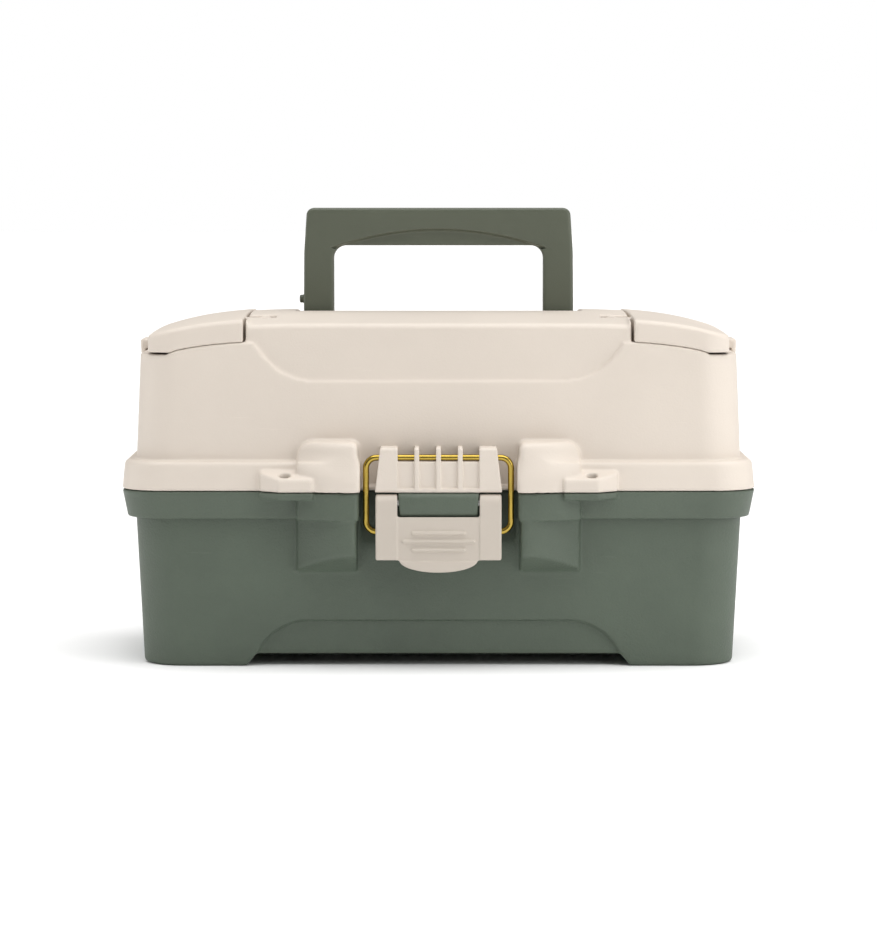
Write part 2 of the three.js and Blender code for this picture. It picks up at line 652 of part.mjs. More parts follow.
// A plate with rounded ends that follows a row of pivots, bored at each.
function plate(pivots, width, holes) {
  const links = pivots.slice(1).map((to, i) => {
    const from = pivots[i];
    const angle = THREE.MathUtils.radToDeg(Math.atan2(to.z - from.z, to.y - from.y));
    const outline = [
      ...arc(from.y, from.z, width, angle + 90, angle + 270, 6),
      ...arc(to.y, to.z, width, angle - 90, angle + 90, 6),
    ];
    return prismX(outline, 0, BRACKET_X[1] - BRACKET_X[0]);
  });
  return join(links).subtract(join(holes.map(({ y, z, radius }) => rod("x", -1, 4, y, z, radius))));
}

const upperPivot = ({ y, z }) => ({ y: y + TRAY_STEP.y, z: z + TRAY_STEP.z });
const armPivot = ({ y, z }) => ({ y: y + LINK.y, z: z + LINK.z });
const BRACKET_HIGH = upperPivot(BRACKET_LOW);
const ARM_LOW = armPivot(BRACKET_LOW);
const ARM_HIGH = upperPivot(ARM_LOW);

// A headed pin along +X, its head at the start.
function headedPin(length, radius, headRadius, headLength) {
  const head = [[0, 0], [headRadius, 0], [headRadius, headLength]];
  const profile = [...head, [radius, headLength], [radius, length], [0, length]];
  const geometry = new THREE.LatheGeometry(profile.map(([r, h]) => new THREE.Vector2(r, h)), 12);
  return solid(geometry.rotateZ(-Math.PI / 2));
}

// ---- Assembly -----------------------------------------------------------------------------------
const FINISHES = {
  green: { color: 0x5b6555, roughness: 0.62, metalness: 0 },
  cream: { color: 0xddd3c7, roughness: 0.55, metalness: 0 },
  grip: { color: 0x5a6052, roughness: 0.55, metalness: 0 },
  beige: { color: 0xccc2b3, roughness: 0.5, metalness: 0 },
  brass: { color: 0xb39a4a, roughness: 0.25, metalness: 1 },
  steel: { color: 0xb4b6b8, roughness: 0.35, metalness: 1 },
  clear: { color: 0xd6d6cf, roughness: 0.4, metalness: 0 },
};

const box3d = new THREE.Group();
box3d.position.set(0, DEPTH_SHIFT, HEIGHT_SHIFT);

function add(name, body, finish, [x, y, z] = [0, 0, 0], turned = false) {
  const { vertProperties, triVerts } = body.getMesh();
  const geometry = new THREE.BufferGeometry();
  geometry.setAttribute("position", new THREE.BufferAttribute(vertProperties, 3));
  geometry.setIndex(new THREE.BufferAttribute(triVerts, 1));
  geometry.computeVertexNormals();
  const mesh = new THREE.Mesh(geometry, new THREE.MeshStandardMaterial(FINISHES[finish]));
  mesh.name = name;
  mesh.position.set(x, y, z);
  if (turned) mesh.rotation.z = Math.PI;
  box3d.add(mesh);
}

add("base_tub", tub(), "green");
add("lid_shell", lid(), "cream");
add("handle", handle(), "grip");
add("latch_lever", lever(), "beige");
add("latch_bail", bail(), "brass");
add("latch_pin", rod("x", -35, 35, 0, 0, LEVER_PIVOT.radius), "steel", [0, LEVER_PIVOT.y, LEVER_PIVOT.z]);
add("tray_lower", tray(LOWER_TRAY, [BRACKET_LOW, ARM_LOW]), "clear");
add("tray_upper", tray(UPPER_TRAY, [BRACKET_HIGH, ARM_HIGH]), "clear");

for (const side of SIGNS) {
  const name = side < 0 ? "left" : "right";
  add(`top_door_${name}`, door(side), "cream");
  for (const end of SIGNS) {
    const place = [side * DOOR_AXIS.x, end * DOOR_ARM_Y, DOOR_AXIS.z];
    const pin = rod("y", -DOOR_PIN / 2, DOOR_PIN / 2, 0, 0, 1.5);
    add(`door_pin_${name}_${end < 0 ? "front" : "rear"}`, pin, "steel", place);
  }
  const grip = [side * 78.4, HANDLE_PIVOT.y, HANDLE_PIVOT.z];
  add(`handle_pin_${name}`, rod("x", -8.6, 8.6, 0, 0, HANDLE_PIVOT.radius), "steel", grip);
  const hingePlace = [side * HINGE.x, HINGE.y, HINGE.z];
  add(`hinge_pin_${name}`, rod("x", -18.4, 18.4, 0, 0, HINGE.pin), "steel", hingePlace);

  const armX = side < 0 ? -ARM_X[1] : ARM_X[0];
  const bracketX = side < 0 ? -BRACKET_X[1] : BRACKET_X[0];
  const bored = (pivot, radius) => ({ ...pivot, radius });
  const armHoles = [ARM_PIVOT, ARM_LOW, ARM_HIGH].map((pivot) => bored(pivot, RIVET + GAP));
  add(`arm_${name}`, plate([ARM_PIVOT, ARM_LOW, ARM_HIGH], 6, armHoles), "steel", [armX, 0, 0]);
  const bracketRow = [BRACKET_LOW, { y: 34, z: 104 }, BRACKET_SCREWS[1], BRACKET_SCREWS[0], BRACKET_HIGH];
  const bracketHoles = [
    ...[BRACKET_LOW, BRACKET_HIGH].map((pivot) => bored(pivot, RIVET + GAP)),
    ...BRACKET_SCREWS.map((screw) => bored(screw, 1.8)),
  ];
  add(`lid_bracket_${name}`, plate(bracketRow, 6, bracketHoles), "steel", [bracketX, 0, 0]);

  // Arm rivets: heads outwards from the trays, and inwards on the tub's post.
  const turned = side < 0;
  const armPlace = [side * 165.1, ARM_PIVOT.y, ARM_PIVOT.z];
  add(`arm_rivet_${name}`, headedPin(7, RIVET, 3.6, 1), "steel", armPlace, turned);
  const pins = [["tray_pin_lower", ARM_LOW], ["tray_pin_upper", ARM_HIGH]];
  for (const [kind, { y, z }] of pins) {
    add(`${kind}_${name}`, headedPin(8.4, RIVET, 3.6, 0.9), "steel", [side * 169.4, y, z], !turned);
  }
  const rivets = [["bracket_rivet_lower", BRACKET_LOW], ["bracket_rivet_upper", BRACKET_HIGH]];
  for (const [kind, { y, z }] of rivets) {
    add(`${kind}_${name}`, headedPin(6.2, RIVET, 3.6, 0.9), "steel", [side * 159.5, y, z], turned);
  }
  BRACKET_SCREWS.forEach(({ y, z }, i) => {
    const kind = i === 0 ? "front" : "rear";
    add(`bracket_screw_${kind}_${name}`, headedPin(8, 1.5, 3, 0.6), "steel", [side * 162.9, y, z], turned);
  });
}

// Loose dividers, dropped across the rows of each tray.
function divider(row) {
  return box(-DIVIDER / 2, DIVIDER / 2, row[0] + GAP, row[1] - GAP, 0, TRAY.height - 6);
}

for (const [name, { bottom, back, partition }] of [["lower", LOWER_TRAY], ["upper", UPPER_TRAY]]) {
  const rows = [
    [TRAY.front + TRAY.wall, partition - TRAY.wall / 2],
    [partition + TRAY.wall / 2, back - TRAY.wall],
  ];
  rows.forEach((row, i) => {
    const places = i === 0 ? [-60, 52] : [-22, 88];
    places.forEach((x, j) => {
      add(`divider_${name}_${i * 2 + j + 1}`, divider(row), "clear", [x, 0, bottom + TRAY.floor + GAP]);
    });
  });
}

export default box3d;
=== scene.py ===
import json
import math

import bpy
import numpy as np
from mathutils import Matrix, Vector

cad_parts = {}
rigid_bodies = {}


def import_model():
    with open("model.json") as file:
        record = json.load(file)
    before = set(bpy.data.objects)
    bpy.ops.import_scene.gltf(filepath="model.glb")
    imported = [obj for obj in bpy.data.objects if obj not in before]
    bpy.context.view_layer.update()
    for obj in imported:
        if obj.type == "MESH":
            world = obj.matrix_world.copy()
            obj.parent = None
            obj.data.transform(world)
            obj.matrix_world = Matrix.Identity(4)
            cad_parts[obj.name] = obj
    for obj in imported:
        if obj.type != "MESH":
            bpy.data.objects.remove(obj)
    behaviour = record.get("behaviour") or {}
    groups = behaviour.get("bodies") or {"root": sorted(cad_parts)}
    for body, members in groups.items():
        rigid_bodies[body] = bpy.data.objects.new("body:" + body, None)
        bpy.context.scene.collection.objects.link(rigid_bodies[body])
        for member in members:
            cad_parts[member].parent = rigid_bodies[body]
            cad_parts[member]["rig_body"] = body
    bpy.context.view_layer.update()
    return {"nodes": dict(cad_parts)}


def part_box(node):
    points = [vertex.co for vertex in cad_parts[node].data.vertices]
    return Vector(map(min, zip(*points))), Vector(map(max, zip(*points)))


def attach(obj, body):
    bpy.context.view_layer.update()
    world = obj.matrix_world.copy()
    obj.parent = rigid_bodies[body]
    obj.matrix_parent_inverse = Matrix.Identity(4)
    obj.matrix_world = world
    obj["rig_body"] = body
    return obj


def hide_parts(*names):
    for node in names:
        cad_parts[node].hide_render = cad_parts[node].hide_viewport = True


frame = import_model()

# ---- Driving dimensions, in millimetres -----------------------------------------------------------
# Shapes are written with y = 0 at the tub's middle and the seam at z = 100; SHIFT moves them into the
# part's frame, which has the middle of the whole depth at y = 0 and the ground at z = 0.
MM = 0.001
SHIFT = np.array([0.0, 3.0, 1.6])
GROUND = -SHIFT[2]


def node_box(name):
    """Lowest and highest corner of a CAD node, as the shapes are written."""
    low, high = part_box(name)
    return np.array(low) / MM - SHIFT, np.array(high) / MM - SHIFT


def node_middle(name):
    low, high = node_box(name)
    return (low + high) / 2


TUB_LOW, TUB_HIGH = node_box("base_tub")
DOOR_LOW, DOOR_HIGH = node_box("top_door_right")
HANDLE_LOW, HANDLE_HIGH = node_box("handle")
LEVER_HIGH = node_box("latch_lever")[1]

HALF_LENGTH = TUB_HIGH[0]
HINGE_AXIS = node_middle("hinge_pin_right")
HINGE_Y = HINGE_AXIS[1]
SEAM = 100.0
LID_BOTTOM = SEAM + 0.2
WALL = 2.4
CORNER = 25.0
RIM_HALF = (HALF_LENGTH, 91.0)
RIM_HEIGHT = 16.0
BOSS_INNER, BOSS_OUTER, BOSS_FRONT = 44.2, 80.8, TUB_LOW[1]
BOSS_RIM, BOSS_SKIRT = 0.9, 2.3
DOOR_AXIS = node_middle("door_pin_right_front")
DOOR_ARM_Y = abs(DOOR_AXIS[1])
DOOR_END = 166.2  # flat end of a top door
DOOR_INNER = DOOR_AXIS[0] + 11.5
LATCH_Y, LATCH_Z = node_middle("latch_pin")[1:]
BAIL_Y = node_middle("latch_bail")[1]
PIVOT_Y, PIVOT_Z = node_middle("handle_pin_right")[1:]
BAY_WALL = -82.0  # front of the tub and lid where the latch sits
PADLOCK_X, PADLOCK_Y, PADLOCK_RADIUS = 87.0, -96.5, 3.1
LATCH_BORE, RIVET_BORE, SCREW_BORE, DOOR_BORE = 2.1, 2.3, 1.8, 1.8
HANDLE_BORE, HINGE_BORE, HINGE_EYE, HINGE_GAP = 2.8, 1.9, 4.5, 5.0

FINE = 1.0  # grid spacing of the two big shells
HORIZON, ZENITH = 0.14, 0.55  # strength of the surrounding light
OVERHEAD, KEY, LEFT_EDGE, RIGHT_EDGE = 2.8, 2.1, 2.5, 1.5  # strength of each lamp


# ---- Distance fields: negative inside, in millimetres ---------------------------------------------
def round_and(a, b, radius):
    """Both at once, with the outer edge rounded."""
    u = np.maximum(a + radius, 0)
    v = np.maximum(b + radius, 0)
    return np.minimum(-radius, np.maximum(a, b)) + np.hypot(u, v)


def round_or(a, b, radius):
    """Either one, with the inner corner filleted."""
    u = np.maximum(radius - a, 0)
    v = np.maximum(radius - b, 0)
    return np.maximum(radius, np.minimum(a, b)) - np.hypot(u, v)


def cut(a, b, radius=0.5):
    return round_and(a, -b, radius)


def rectangle(a, b, half_a, half_b, radius):
    u = np.abs(a) - half_a + radius
    v = np.abs(b) - half_b + radius
    return np.hypot(np.maximum(u, 0), np.maximum(v, 0)) + np.minimum(np.maximum(u, v), 0) - radius


def block(p, low, high, radius=0.5):
    """A box between two corners with rounded edges."""
    middle = [(a + b) / 2 for a, b in zip(low, high)]
    q = [np.abs(c - m) - abs(b - a) / 2 + radius for c, m, a, b in zip(p, middle, low, high)]
    outside = np.sqrt(sum(np.maximum(c, 0) ** 2 for c in q))
    return outside + np.minimum(np.maximum(np.maximum(q[0], q[1]), q[2]), 0) - radius


def rod(p, axis, at, radius, low, high, edge=0.3):
    """A round bar along one axis, through the other two coordinates in at."""
    u, v = [p[i] for i in range(3) if i != axis]
    side = np.hypot(u - at[0], v - at[1]) - radius
    ends = np.maximum(low - p[axis], p[axis] - high)
    return round_and(side, ends, edge)


def smooth_step(t):
    t = np.clip(t * 0.5 + 0.5, 0, 1)
    return t * t * (3 - 2 * t)


def polygon(a, b, points):
    """Signed distance to a closed outline."""
    distance = np.full(np.shape(a), 1e9, np.float32)
    inside = np.zeros(np.shape(a), bool)
    for (a0, b0), (a1, b1) in zip(points, points[1:] + points[:1]):
        da, db = a1 - a0, b1 - b0
        t = np.clip(((a - a0) * da + (b - b0) * db) / (da * da + db * db), 0, 1)
        distance = np.minimum(distance, np.hypot(a - a0 - t * da, b - b0 - t * db))
        crosses = (b0 > b) != (b1 > b)
        if db:
            inside ^= crosses & (a < a0 + (b - b0) * da / db)
    return np.where(inside, -distance, distance)


# ---- From a distance field to a mesh --------------------------------------------------------------
CORNERS = [(i, j, k) for i in (0, 1) for j in (0, 1) for k in (0, 1)]
EDGES = [(a, b) for a in CORNERS for b in CORNERS
         if sum(b) - sum(a) == 1 and all(q >= r for q, r in zip(b, a))]


def sampled(field, low, high, step):
    """The field on a grid. Only blocks near the surface are worked out in full."""
    size = 4
    blocks = [int(math.ceil((h - l) / (step * size))) for l, h in zip(low, high)]
    centres = [l + step * (np.arange(n, dtype=np.float32) * size + (size - 1) / 2)
               for l, n in zip(low, blocks)]
    coarse = np.empty(blocks, np.float32)
    for i, x in enumerate(centres[0]):
        y, z = np.meshgrid(centres[1], centres[2], indexing="ij")
        coarse[i] = field((np.full_like(y, x), y, z))
    near = np.abs(coarse) < step * size * 1.25
    values = np.repeat(np.repeat(np.repeat(coarse, size, 0), size, 1), size, 2)
    index = np.argwhere(near).astype(np.int32)
    inside = np.array([(i, j, k) for i in range(size) for j in range(size) for k in range(size)], np.int32)
    chunk = 4000
    for start in range(0, len(index), chunk):
        cells = (index[start:start + chunk, None, :] * size + inside[None]).reshape(-1, 3)
        p = [np.float32(low[a]) + np.float32(step) * cells[:, a].astype(np.float32) for a in range(3)]
        values[cells[:, 0], cells[:, 1], cells[:, 2]] = field(p)
    return values


def surface(field, low, high, step):
    """Surface net of a field: one vertex in every cell that the surface crosses."""
    values = sampled(field, [v - 2 * step for v in low], [v + 2 * step for v in high], step)
    start = np.array(low, float) - 2 * step
    solid = values < 0
    count = np.zeros([n - 1 for n in values.shape], np.int8)
    for i, j, k in CORNERS:
        count += solid[i:i + count.shape[0], j:j + count.shape[1], k:k + count.shape[2]]
    active = (count > 0) & (count < 8)
    cells = np.argwhere(active)
    number = np.full(active.shape, -1, np.int64)
    number[active] = np.arange(len(cells))
    total = np.zeros((len(cells), 3))
    hits = np.zeros(len(cells))
    for a, b in EDGES:
        va = values[tuple((cells + a).T)]
        vb = values[tuple((cells + b).T)]
        crossed = (va < 0) != (vb < 0)
        t = np.where(crossed, va / np.where(crossed, va - vb, 1), 0)
        point = np.array(a) + t[:, None] * (np.array(b) - np.array(a))
        total += point * crossed[:, None]
        hits += crossed
    vertices = start + step * (cells + total / hits[:, None])
    quads = []
    for axis in range(3):
        one, two = [(1, 2), (2, 0), (0, 1)][axis]
        here = [slice(1, -1)] * 3
        here[axis] = slice(0, -1)
        ahead = list(here)
        ahead[axis] = slice(1, None)
        first, second = solid[tuple(here)], solid[tuple(ahead)]
        where = np.argwhere(first != second)
        outward = first[tuple(where.T)]
        where = where + [0 if a == axis else 1 for a in range(3)]
        ring = []
        for back_one, back_two in ((1, 1), (0, 1), (0, 0), (1, 0)):
            cell = where.copy()
            cell[:, one] -= back_one
            cell[:, two] -= back_two
            ring.append(number[tuple(cell.T)])
        ring = np.stack(ring, 1)
        ring[~outward] = ring[~outward][:, ::-1]
        quads.append(ring)
    return vertices, np.concatenate(quads)


def mesh_object(name, vertices, faces):
    mesh = bpy.data.meshes.new(name)
    mesh.vertices.add(len(vertices))
    mesh.vertices.foreach_set("co", np.ascontiguousarray(vertices, np.float32).ravel())
    sides = faces.shape[1]
    mesh.loops.add(len(faces) * sides)
    mesh.loops.foreach_set("vertex_index", faces.astype(np.int32).ravel())
    mesh.polygons.add(len(faces))
    mesh.polygons.foreach_set("loop_start", np.arange(0, len(faces) * sides, sides, dtype=np.int32))
    mesh.polygons.foreach_set("loop_total", np.full(len(faces), sides, np.int32))
    mesh.update(calc_edges=True)
    mesh.polygons.foreach_set("use_smooth", np.ones(len(faces), bool))
    made = bpy.data.objects.new(name, mesh)
    bpy.context.scene.collection.objects.link(made)
    return made


def apply_modifiers(piece):
    graph = bpy.context.evaluated_depsgraph_get()
    mesh = bpy.data.meshes.new_from_object(piece.evaluated_get(graph))
    piece.modifiers.clear()
    piece.data = mesh


def moulding(name, field, low, high, step, material, body, *nodes, keep=0.25, smooth=2):
    """A moulded piece from its field: meshed, smoothed a little, thinned out and given its finish."""
    vertices, faces = surface(field, low, high, step)
    piece = mesh_object(name, (vertices + SHIFT) * MM, faces)
    if smooth:
        relax = piece.modifiers.new("relax", "SMOOTH")
        relax.factor = 0.4
        relax.iterations = smooth
    if keep < 1:
        thin = piece.modifiers.new("thin", "DECIMATE")
        thin.ratio = keep
    apply_modifiers(piece)
    normals = piece.modifiers.new("normals", "WEIGHTED_NORMAL")
    normals.weight = 90
    normals.keep_sharp = False
    piece.data.materials.append(material)
    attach(piece, body)
    if nodes:
        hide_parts(*nodes)
    return piece


# ---- Materials ------------------------------------------------------------------------------------
class Nodes:
    """A short way to add and link shader nodes."""

    def __init__(self, name):
        self.material = bpy.data.materials.new(name)
        self.material.use_nodes = True
        self.tree = self.material.node_tree
        self.shader = self.tree.nodes["Principled BSDF"]
        place = self.tree.nodes.new("ShaderNodeTexCoord")
        self.place = place.outputs["Object"]

    def add(self, kind, inputs=None, **settings):
        node = self.tree.nodes.new(kind)
        for key, value in settings.items():
            setattr(node, key, value)
        for key, value in (inputs or {}).items():
            if isinstance(value, bpy.types.NodeSocket):
                self.tree.links.new(value, node.inputs[key])
            else:
                node.inputs[key].default_value = value
        return node

    def noise(self, scale, detail=3.0, roughness=0.5, place=None):
        inputs = {"Vector": place or self.place, "Scale": scale, "Detail": detail, "Roughness": roughness}
        return self.add("ShaderNodeTexNoise", inputs).outputs["Fac"]

    def stretch(self, scale):
        return self.add("ShaderNodeMapping", {"Vector": self.place, "Scale": scale}).outputs["Vector"]

    def remap(self, value, low, high, to_low, to_high):
        inputs = {"Value": value, "From Min": low, "From Max": high, "To Min": to_low, "To Max": to_high}
        return self.add("ShaderNodeMapRange", inputs).outputs["Result"]

    def blend(self, amount, first, second, kind="MIX"):
        node = self.add("ShaderNodeMix", data_type="RGBA", blend_type=kind)
        for index, value in ((0, amount), (6, first), (7, second)):
            if isinstance(value, bpy.types.NodeSocket):
                self.tree.links.new(value, node.inputs[index])
            else:
                node.inputs[index].default_value = value
        return node.outputs[2]

    def math(self, operation, a, b):
        node = self.add("ShaderNodeMath", operation=operation)
        for index, value in enumerate((a, b)):
            if isinstance(value, bpy.types.NodeSocket):
                self.tree.links.new(value, node.inputs[index])
            else:
                node.inputs[index].default_value = value
        return node.outputs[0]

    def bump(self, height, strength, distance, normal=None):
        inputs = {"Height": height, "Strength": strength, "Distance": distance}
        if normal:
            inputs["Normal"] = normal
        return self.add("ShaderNodeBump", inputs).outputs["Normal"]

    def finish(self, **values):
        for key, value in values.items():
            socket = self.shader.inputs[key.replace("_", " ")]
            if isinstance(value, bpy.types.NodeSocket):
                self.tree.links.new(value, socket)
            else:
                socket.default_value = value
        return self.material


def plastic(name, colour, roughness, grain, depth, scuffs=0.25, variation=0.05):
    """Moulded plastic: pebble grain, faint flow marks, cloudy colour and hairline scuffs."""
    n = Nodes(name)
    cloud = n.noise(14.0, 4.0, 0.6)
    flow = n.noise(60.0, 3.0, 0.55, n.stretch((0.25, 0.25, 1.0)))
    darker = tuple(c * (1 - 1.6 * variation) for c in colour) + (1,)
    lighter = tuple(min(c * (1 + 1.2 * variation), 1) for c in colour) + (1,)
    base = n.blend(n.remap(cloud, 0.3, 0.7, 0, 1), darker, lighter)
    base = n.blend(n.remap(flow, 0.35, 0.75, 0, 0.25), base, lighter)
    hair = n.noise(900.0, 2.0, 0.6, n.stretch((0.04, 1.0, 0.6)))
    hairline = n.remap(hair, 0.70, 0.78, 0, scuffs)
    base = n.blend(hairline, base, tuple(min(c * 1.35 + 0.02, 1) for c in colour) + (1,))
    cells = {"Vector": n.place, "Scale": 1000 / grain, "Randomness": 1.0}
    pebble = n.add("ShaderNodeTexVoronoi", cells, feature="SMOOTH_F1")
    pebbles = n.remap(pebble.outputs["Distance"], 0.1, 0.75, 1, 0)
    speckle = n.noise(2200 / grain, 3.0, 0.6)
    pits = n.remap(speckle, 0.3, 0.7, 0, 1)
    base = n.blend(n.remap(pits, 0.0, 1.0, 0.45, 0.0), base, darker)
    height = n.math("ADD", pebbles, n.math("MULTIPLY", pits, 0.5))
    cloudy = n.remap(cloud, 0.3, 0.7, roughness - 0.05, roughness + 0.06)
    rough = n.math("ADD", cloudy, n.remap(pits, 0, 1, -0.03, 0.03))
    normal = n.bump(height, 1.0, depth * MM, n.bump(flow, 1.0, 0.02 * MM))
    return n.finish(Base_Color=base, Roughness=rough, Normal=normal, Specular_IOR_Level=0.42)


def metal(name, colour, roughness, drawn, streak, edge):
    """Drawn wire or rolled sheet: fine streaks along the work, tarnish in patches."""
    n = Nodes(name)
    lines = n.noise(1400.0, 2.0, 0.5, n.stretch(streak))
    patches = n.noise(120.0, 4.0, 0.6)
    dull = tuple(c * 0.62 for c in colour) + (1,)
    base = n.blend(n.remap(patches, 0.45, 0.75, 0, 0.55), tuple(colour) + (1,), dull)
    base = n.blend(n.remap(lines, 0.3, 0.7, 0.0, 0.18), base, dull)
    streaks = n.remap(lines, 0.3, 0.7, roughness - 0.04, roughness + 0.08)
    rough = n.math("ADD", streaks, n.remap(patches, 0.4, 0.8, 0, 0.12))
    normal = n.bump(lines, 1.0, drawn * MM)
    tint = (*edge, 1)
    return n.finish(Base_Color=base, Roughness=rough, Metallic=1.0, Normal=normal, Specular_Tint=tint)


GREEN = plastic("tub_green", (0.088, 0.112, 0.083), 0.50, 1.15, 0.12, variation=0.09)
CREAM = plastic("lid_cream", (0.658, 0.589, 0.517), 0.50, 0.95, 0.030, scuffs=0.12, variation=0.02)
DOOR_CREAM = plastic("door_cream", (0.655, 0.585, 0.513), 0.50, 0.95, 0.030, scuffs=0.12, variation=0.02)
GRIP = plastic("handle_green", (0.091, 0.102, 0.072), 0.42, 0.8, 0.02)
BEIGE = plastic("lever_beige", (0.530, 0.474, 0.411), 0.45, 0.7, 0.012, scuffs=0.15, variation=0.02)
TRAY = plastic("tray_grey", (0.46, 0.46, 0.43), 0.38, 0.9, 0.010, scuffs=0.3, variation=0.03)
DIVIDER = plastic("divider_grey", (0.52, 0.52, 0.49), 0.36, 0.9, 0.008, scuffs=0.2, variation=0.03)
BRASS = metal("bail_brass", (0.44, 0.315, 0.065), 0.11, 0.003, (1, 1, 0.05), (0.30, 0.24, 0.10))
STEEL = metal("pin_steel", (0.52, 0.52, 0.51), 0.30, 0.004, (0.05, 1, 1), (0.9, 0.9, 0.9))
SHEET = metal("linkage_steel", (0.48, 0.49, 0.50), 0.34, 0.004, (1, 0.06, 1), (0.9, 0.9, 0.9))


# ---- Tub ------------------------------------------------------------------------------------------
FLOOR_UNDERSIDE, ARCH_TOP = 5.3, 24.8
ARCH = [(0, GROUND), (5.6, FLOOR_UNDERSIDE), (10.2, 12.6), (15.5, 18.0), (21.9, 21.8), (27.8, 24.0),
        (33.6, ARCH_TOP)]
FOOT_FRONT, FOOT_END = 110.0, 44.0
BAY_BACK, BAY_LOW, BAY_HIGH = -78.0, 64.0, 80.0
PANEL_EDGE = 0.7  # half the width of a set-back panel's soft edge
ARM_PIVOT = (48, 88)


def arch(a, z, start):
    """1 inside the set-back panel between two feet, 0 outside, with a soft edge."""
    below = GROUND - 9
    curve = [(start - inset, height) for inset, height in ARCH]
    outline = [(-1, below), (start + 6, below), *curve, (-1, ARCH_TOP)]
    return smooth_step(-polygon(np.abs(a), z, outline) / PANEL_EDGE)


def boss_plan(x, y, inset, reach=8.0, power=2.4):
    """A boss beside the latch: straight inner side, and a front that curves back to a crisp outer edge."""
    inner, outer, front = BOSS_INNER + inset, BOSS_OUTER, BOSS_FRONT + inset
    t = np.clip((np.abs(x) - inner - 3) / (outer - inner - 3), 0, 1.1)
    curve = np.maximum((front + reach * t ** power - y) * 0.9, y + 75)
    return round_and(round_and(inner - np.abs(x), curve, 3.0), np.abs(x) - outer, 1.0)


def tub_outer(p, lining=False):
    """The tub's outside; as a lining, it is set back gently all round instead of in panels."""
    x, y, z = p
    end_panel = front_panel = smooth_step((30 - z) / 4)
    if not lining:
        end_panel, front_panel = arch(y, z, FOOT_END), arch(x, z, FOOT_FRONT)
    half_x = 170.5 + 4.7 * z / SEAM - 3.0 * end_panel
    half_y = 79.3 + 4.7 * z / SEAM - 2.6 * front_panel
    body = round_and(rectangle(x, y, half_x, half_y, CORNER), GROUND - z, 2.2)
    lean = 0.81 * (z - GROUND)
    across = np.maximum(np.abs(x) - FOOT_FRONT + lean, z - FLOOR_UNDERSIDE)
    along = np.maximum(np.abs(y) - FOOT_END + lean, z - FLOOR_UNDERSIDE)
    body = cut(body, np.minimum(across, along), 0.5)
    under = (53 - 0.56 * (y + 82) - z) * 0.873
    boss = round_and(boss_plan(x, y, BOSS_SKIRT, 16.0, 1.7), under, 1.2)
    return round_or(body, boss, 1.5)


def padlock_tab(p, low, high, slope):
    x, y, z = p
    outline = [(70.8, -84), (70.8, -102.9), (90.5, -102.9), (101.6, -94.0), (101.6, -84)]
    plan = polygon(np.abs(x), y, outline)
    top = (z - high - slope * (y + 103)) / math.hypot(1, slope)
    return round_and(plan, np.maximum(low - z, top), 1.0)


def padlock_bore(p):
    return np.hypot(np.abs(p[0]) - PADLOCK_X, p[1] - PADLOCK_Y) - PADLOCK_RADIUS


def hinge_room(p, low, high):
    """Room for the other leaf's eye at each rear hinge, between two distances from its middle."""
    along = np.abs(np.abs(p[0]) - HINGE_AXIS[0])
    around = np.hypot(p[1] - HINGE_Y, p[2] - HINGE_AXIS[2]) - HINGE_GAP
    return np.maximum(around, np.maximum(low - along, along - high))


def bay(p, half, back, drop):
    """Room beside the latch, where the tub's front is set back above a slope."""
    x, y, z = p
    slope = (BAY_LOW + (BAY_HIGH - BAY_LOW) * (y + 85) / (BAY_BACK + 85) - drop - z) * 0.4
    return np.maximum(np.abs(x) - half, np.maximum(y - back, slope))


def tub_field(p):
    x, y, z = p
    outer = tub_outer(p)
    rim_low = SEAM - RIM_HEIGHT
    skirt_x = RIM_HALF[0] - 2.9 * (SEAM - z) / RIM_HEIGHT
    skirt_y = RIM_HALF[1] - 2.9 * (SEAM - z) / RIM_HEIGHT
    ring = rectangle(x, y, skirt_x, skirt_y, CORNER)
    room = np.maximum(ring + WALL, z - SEAM + WALL)
    band = cut(round_and(ring, np.maximum(rim_low - z, z - SEAM), 0.7), room, 0.6)
    band = cut(band, np.maximum(np.abs(x) - BOSS_INNER, y - BAY_WALL), 0.6)
    boss_band = round_and(boss_plan(x, y, BOSS_RIM), np.maximum(rim_low - z, z - SEAM), 1.0)
    body = round_and(outer, z - SEAM, 0.8)
    body = round_or(body, np.minimum(band, boss_band), 1.0)
    body = round_or(body, padlock_tab(p, SEAM - 4.2, SEAM, 0), 0.8)
    cavity = cut(tub_outer(p, True) + WALL, bay(p, BOSS_INNER + WALL, BAY_BACK + WALL, 4), 1.0)
    body = cut(body, cavity, 0.6)
    body = cut(body, bay(p, BOSS_INNER, BAY_BACK, 0), 0.8)
    post = rod((np.abs(x), y, z), 0, ARM_PIVOT, 6, 168.8, 172.5)
    body = np.minimum(body, post)
    body = cut(body, padlock_bore(p), 0.5)
    return cut(body, hinge_room(p, 8.0, 18.4), 0.4)


# ---- Lid ------------------------------------------------------------------------------------------
TOP = 200.0
DOME_START, DOME_RUN, DOME_FALL, DOME_POWER = 66.0, 104.0, 12.8, 3.1
# The set-back panel's right end, and the doors' lower edge.
PANEL = [(110.5, 205), (110.5, 185.1), (105.6, 184.1), (102.1, 179.7), (98.6, 175.2), (91.5, 168.5),
         (86.2, 165.8), (80.9, 163.7), (73.9, 162.5)]
LOW_X = [100, DOOR_INNER, 124.4, 134.6, 142.2, 149.8, 153.5, 190]
LOW_Z = [184.5, 184.5, 183.6, 182.4, 181.3, 179.7, 178.4, 178.3]


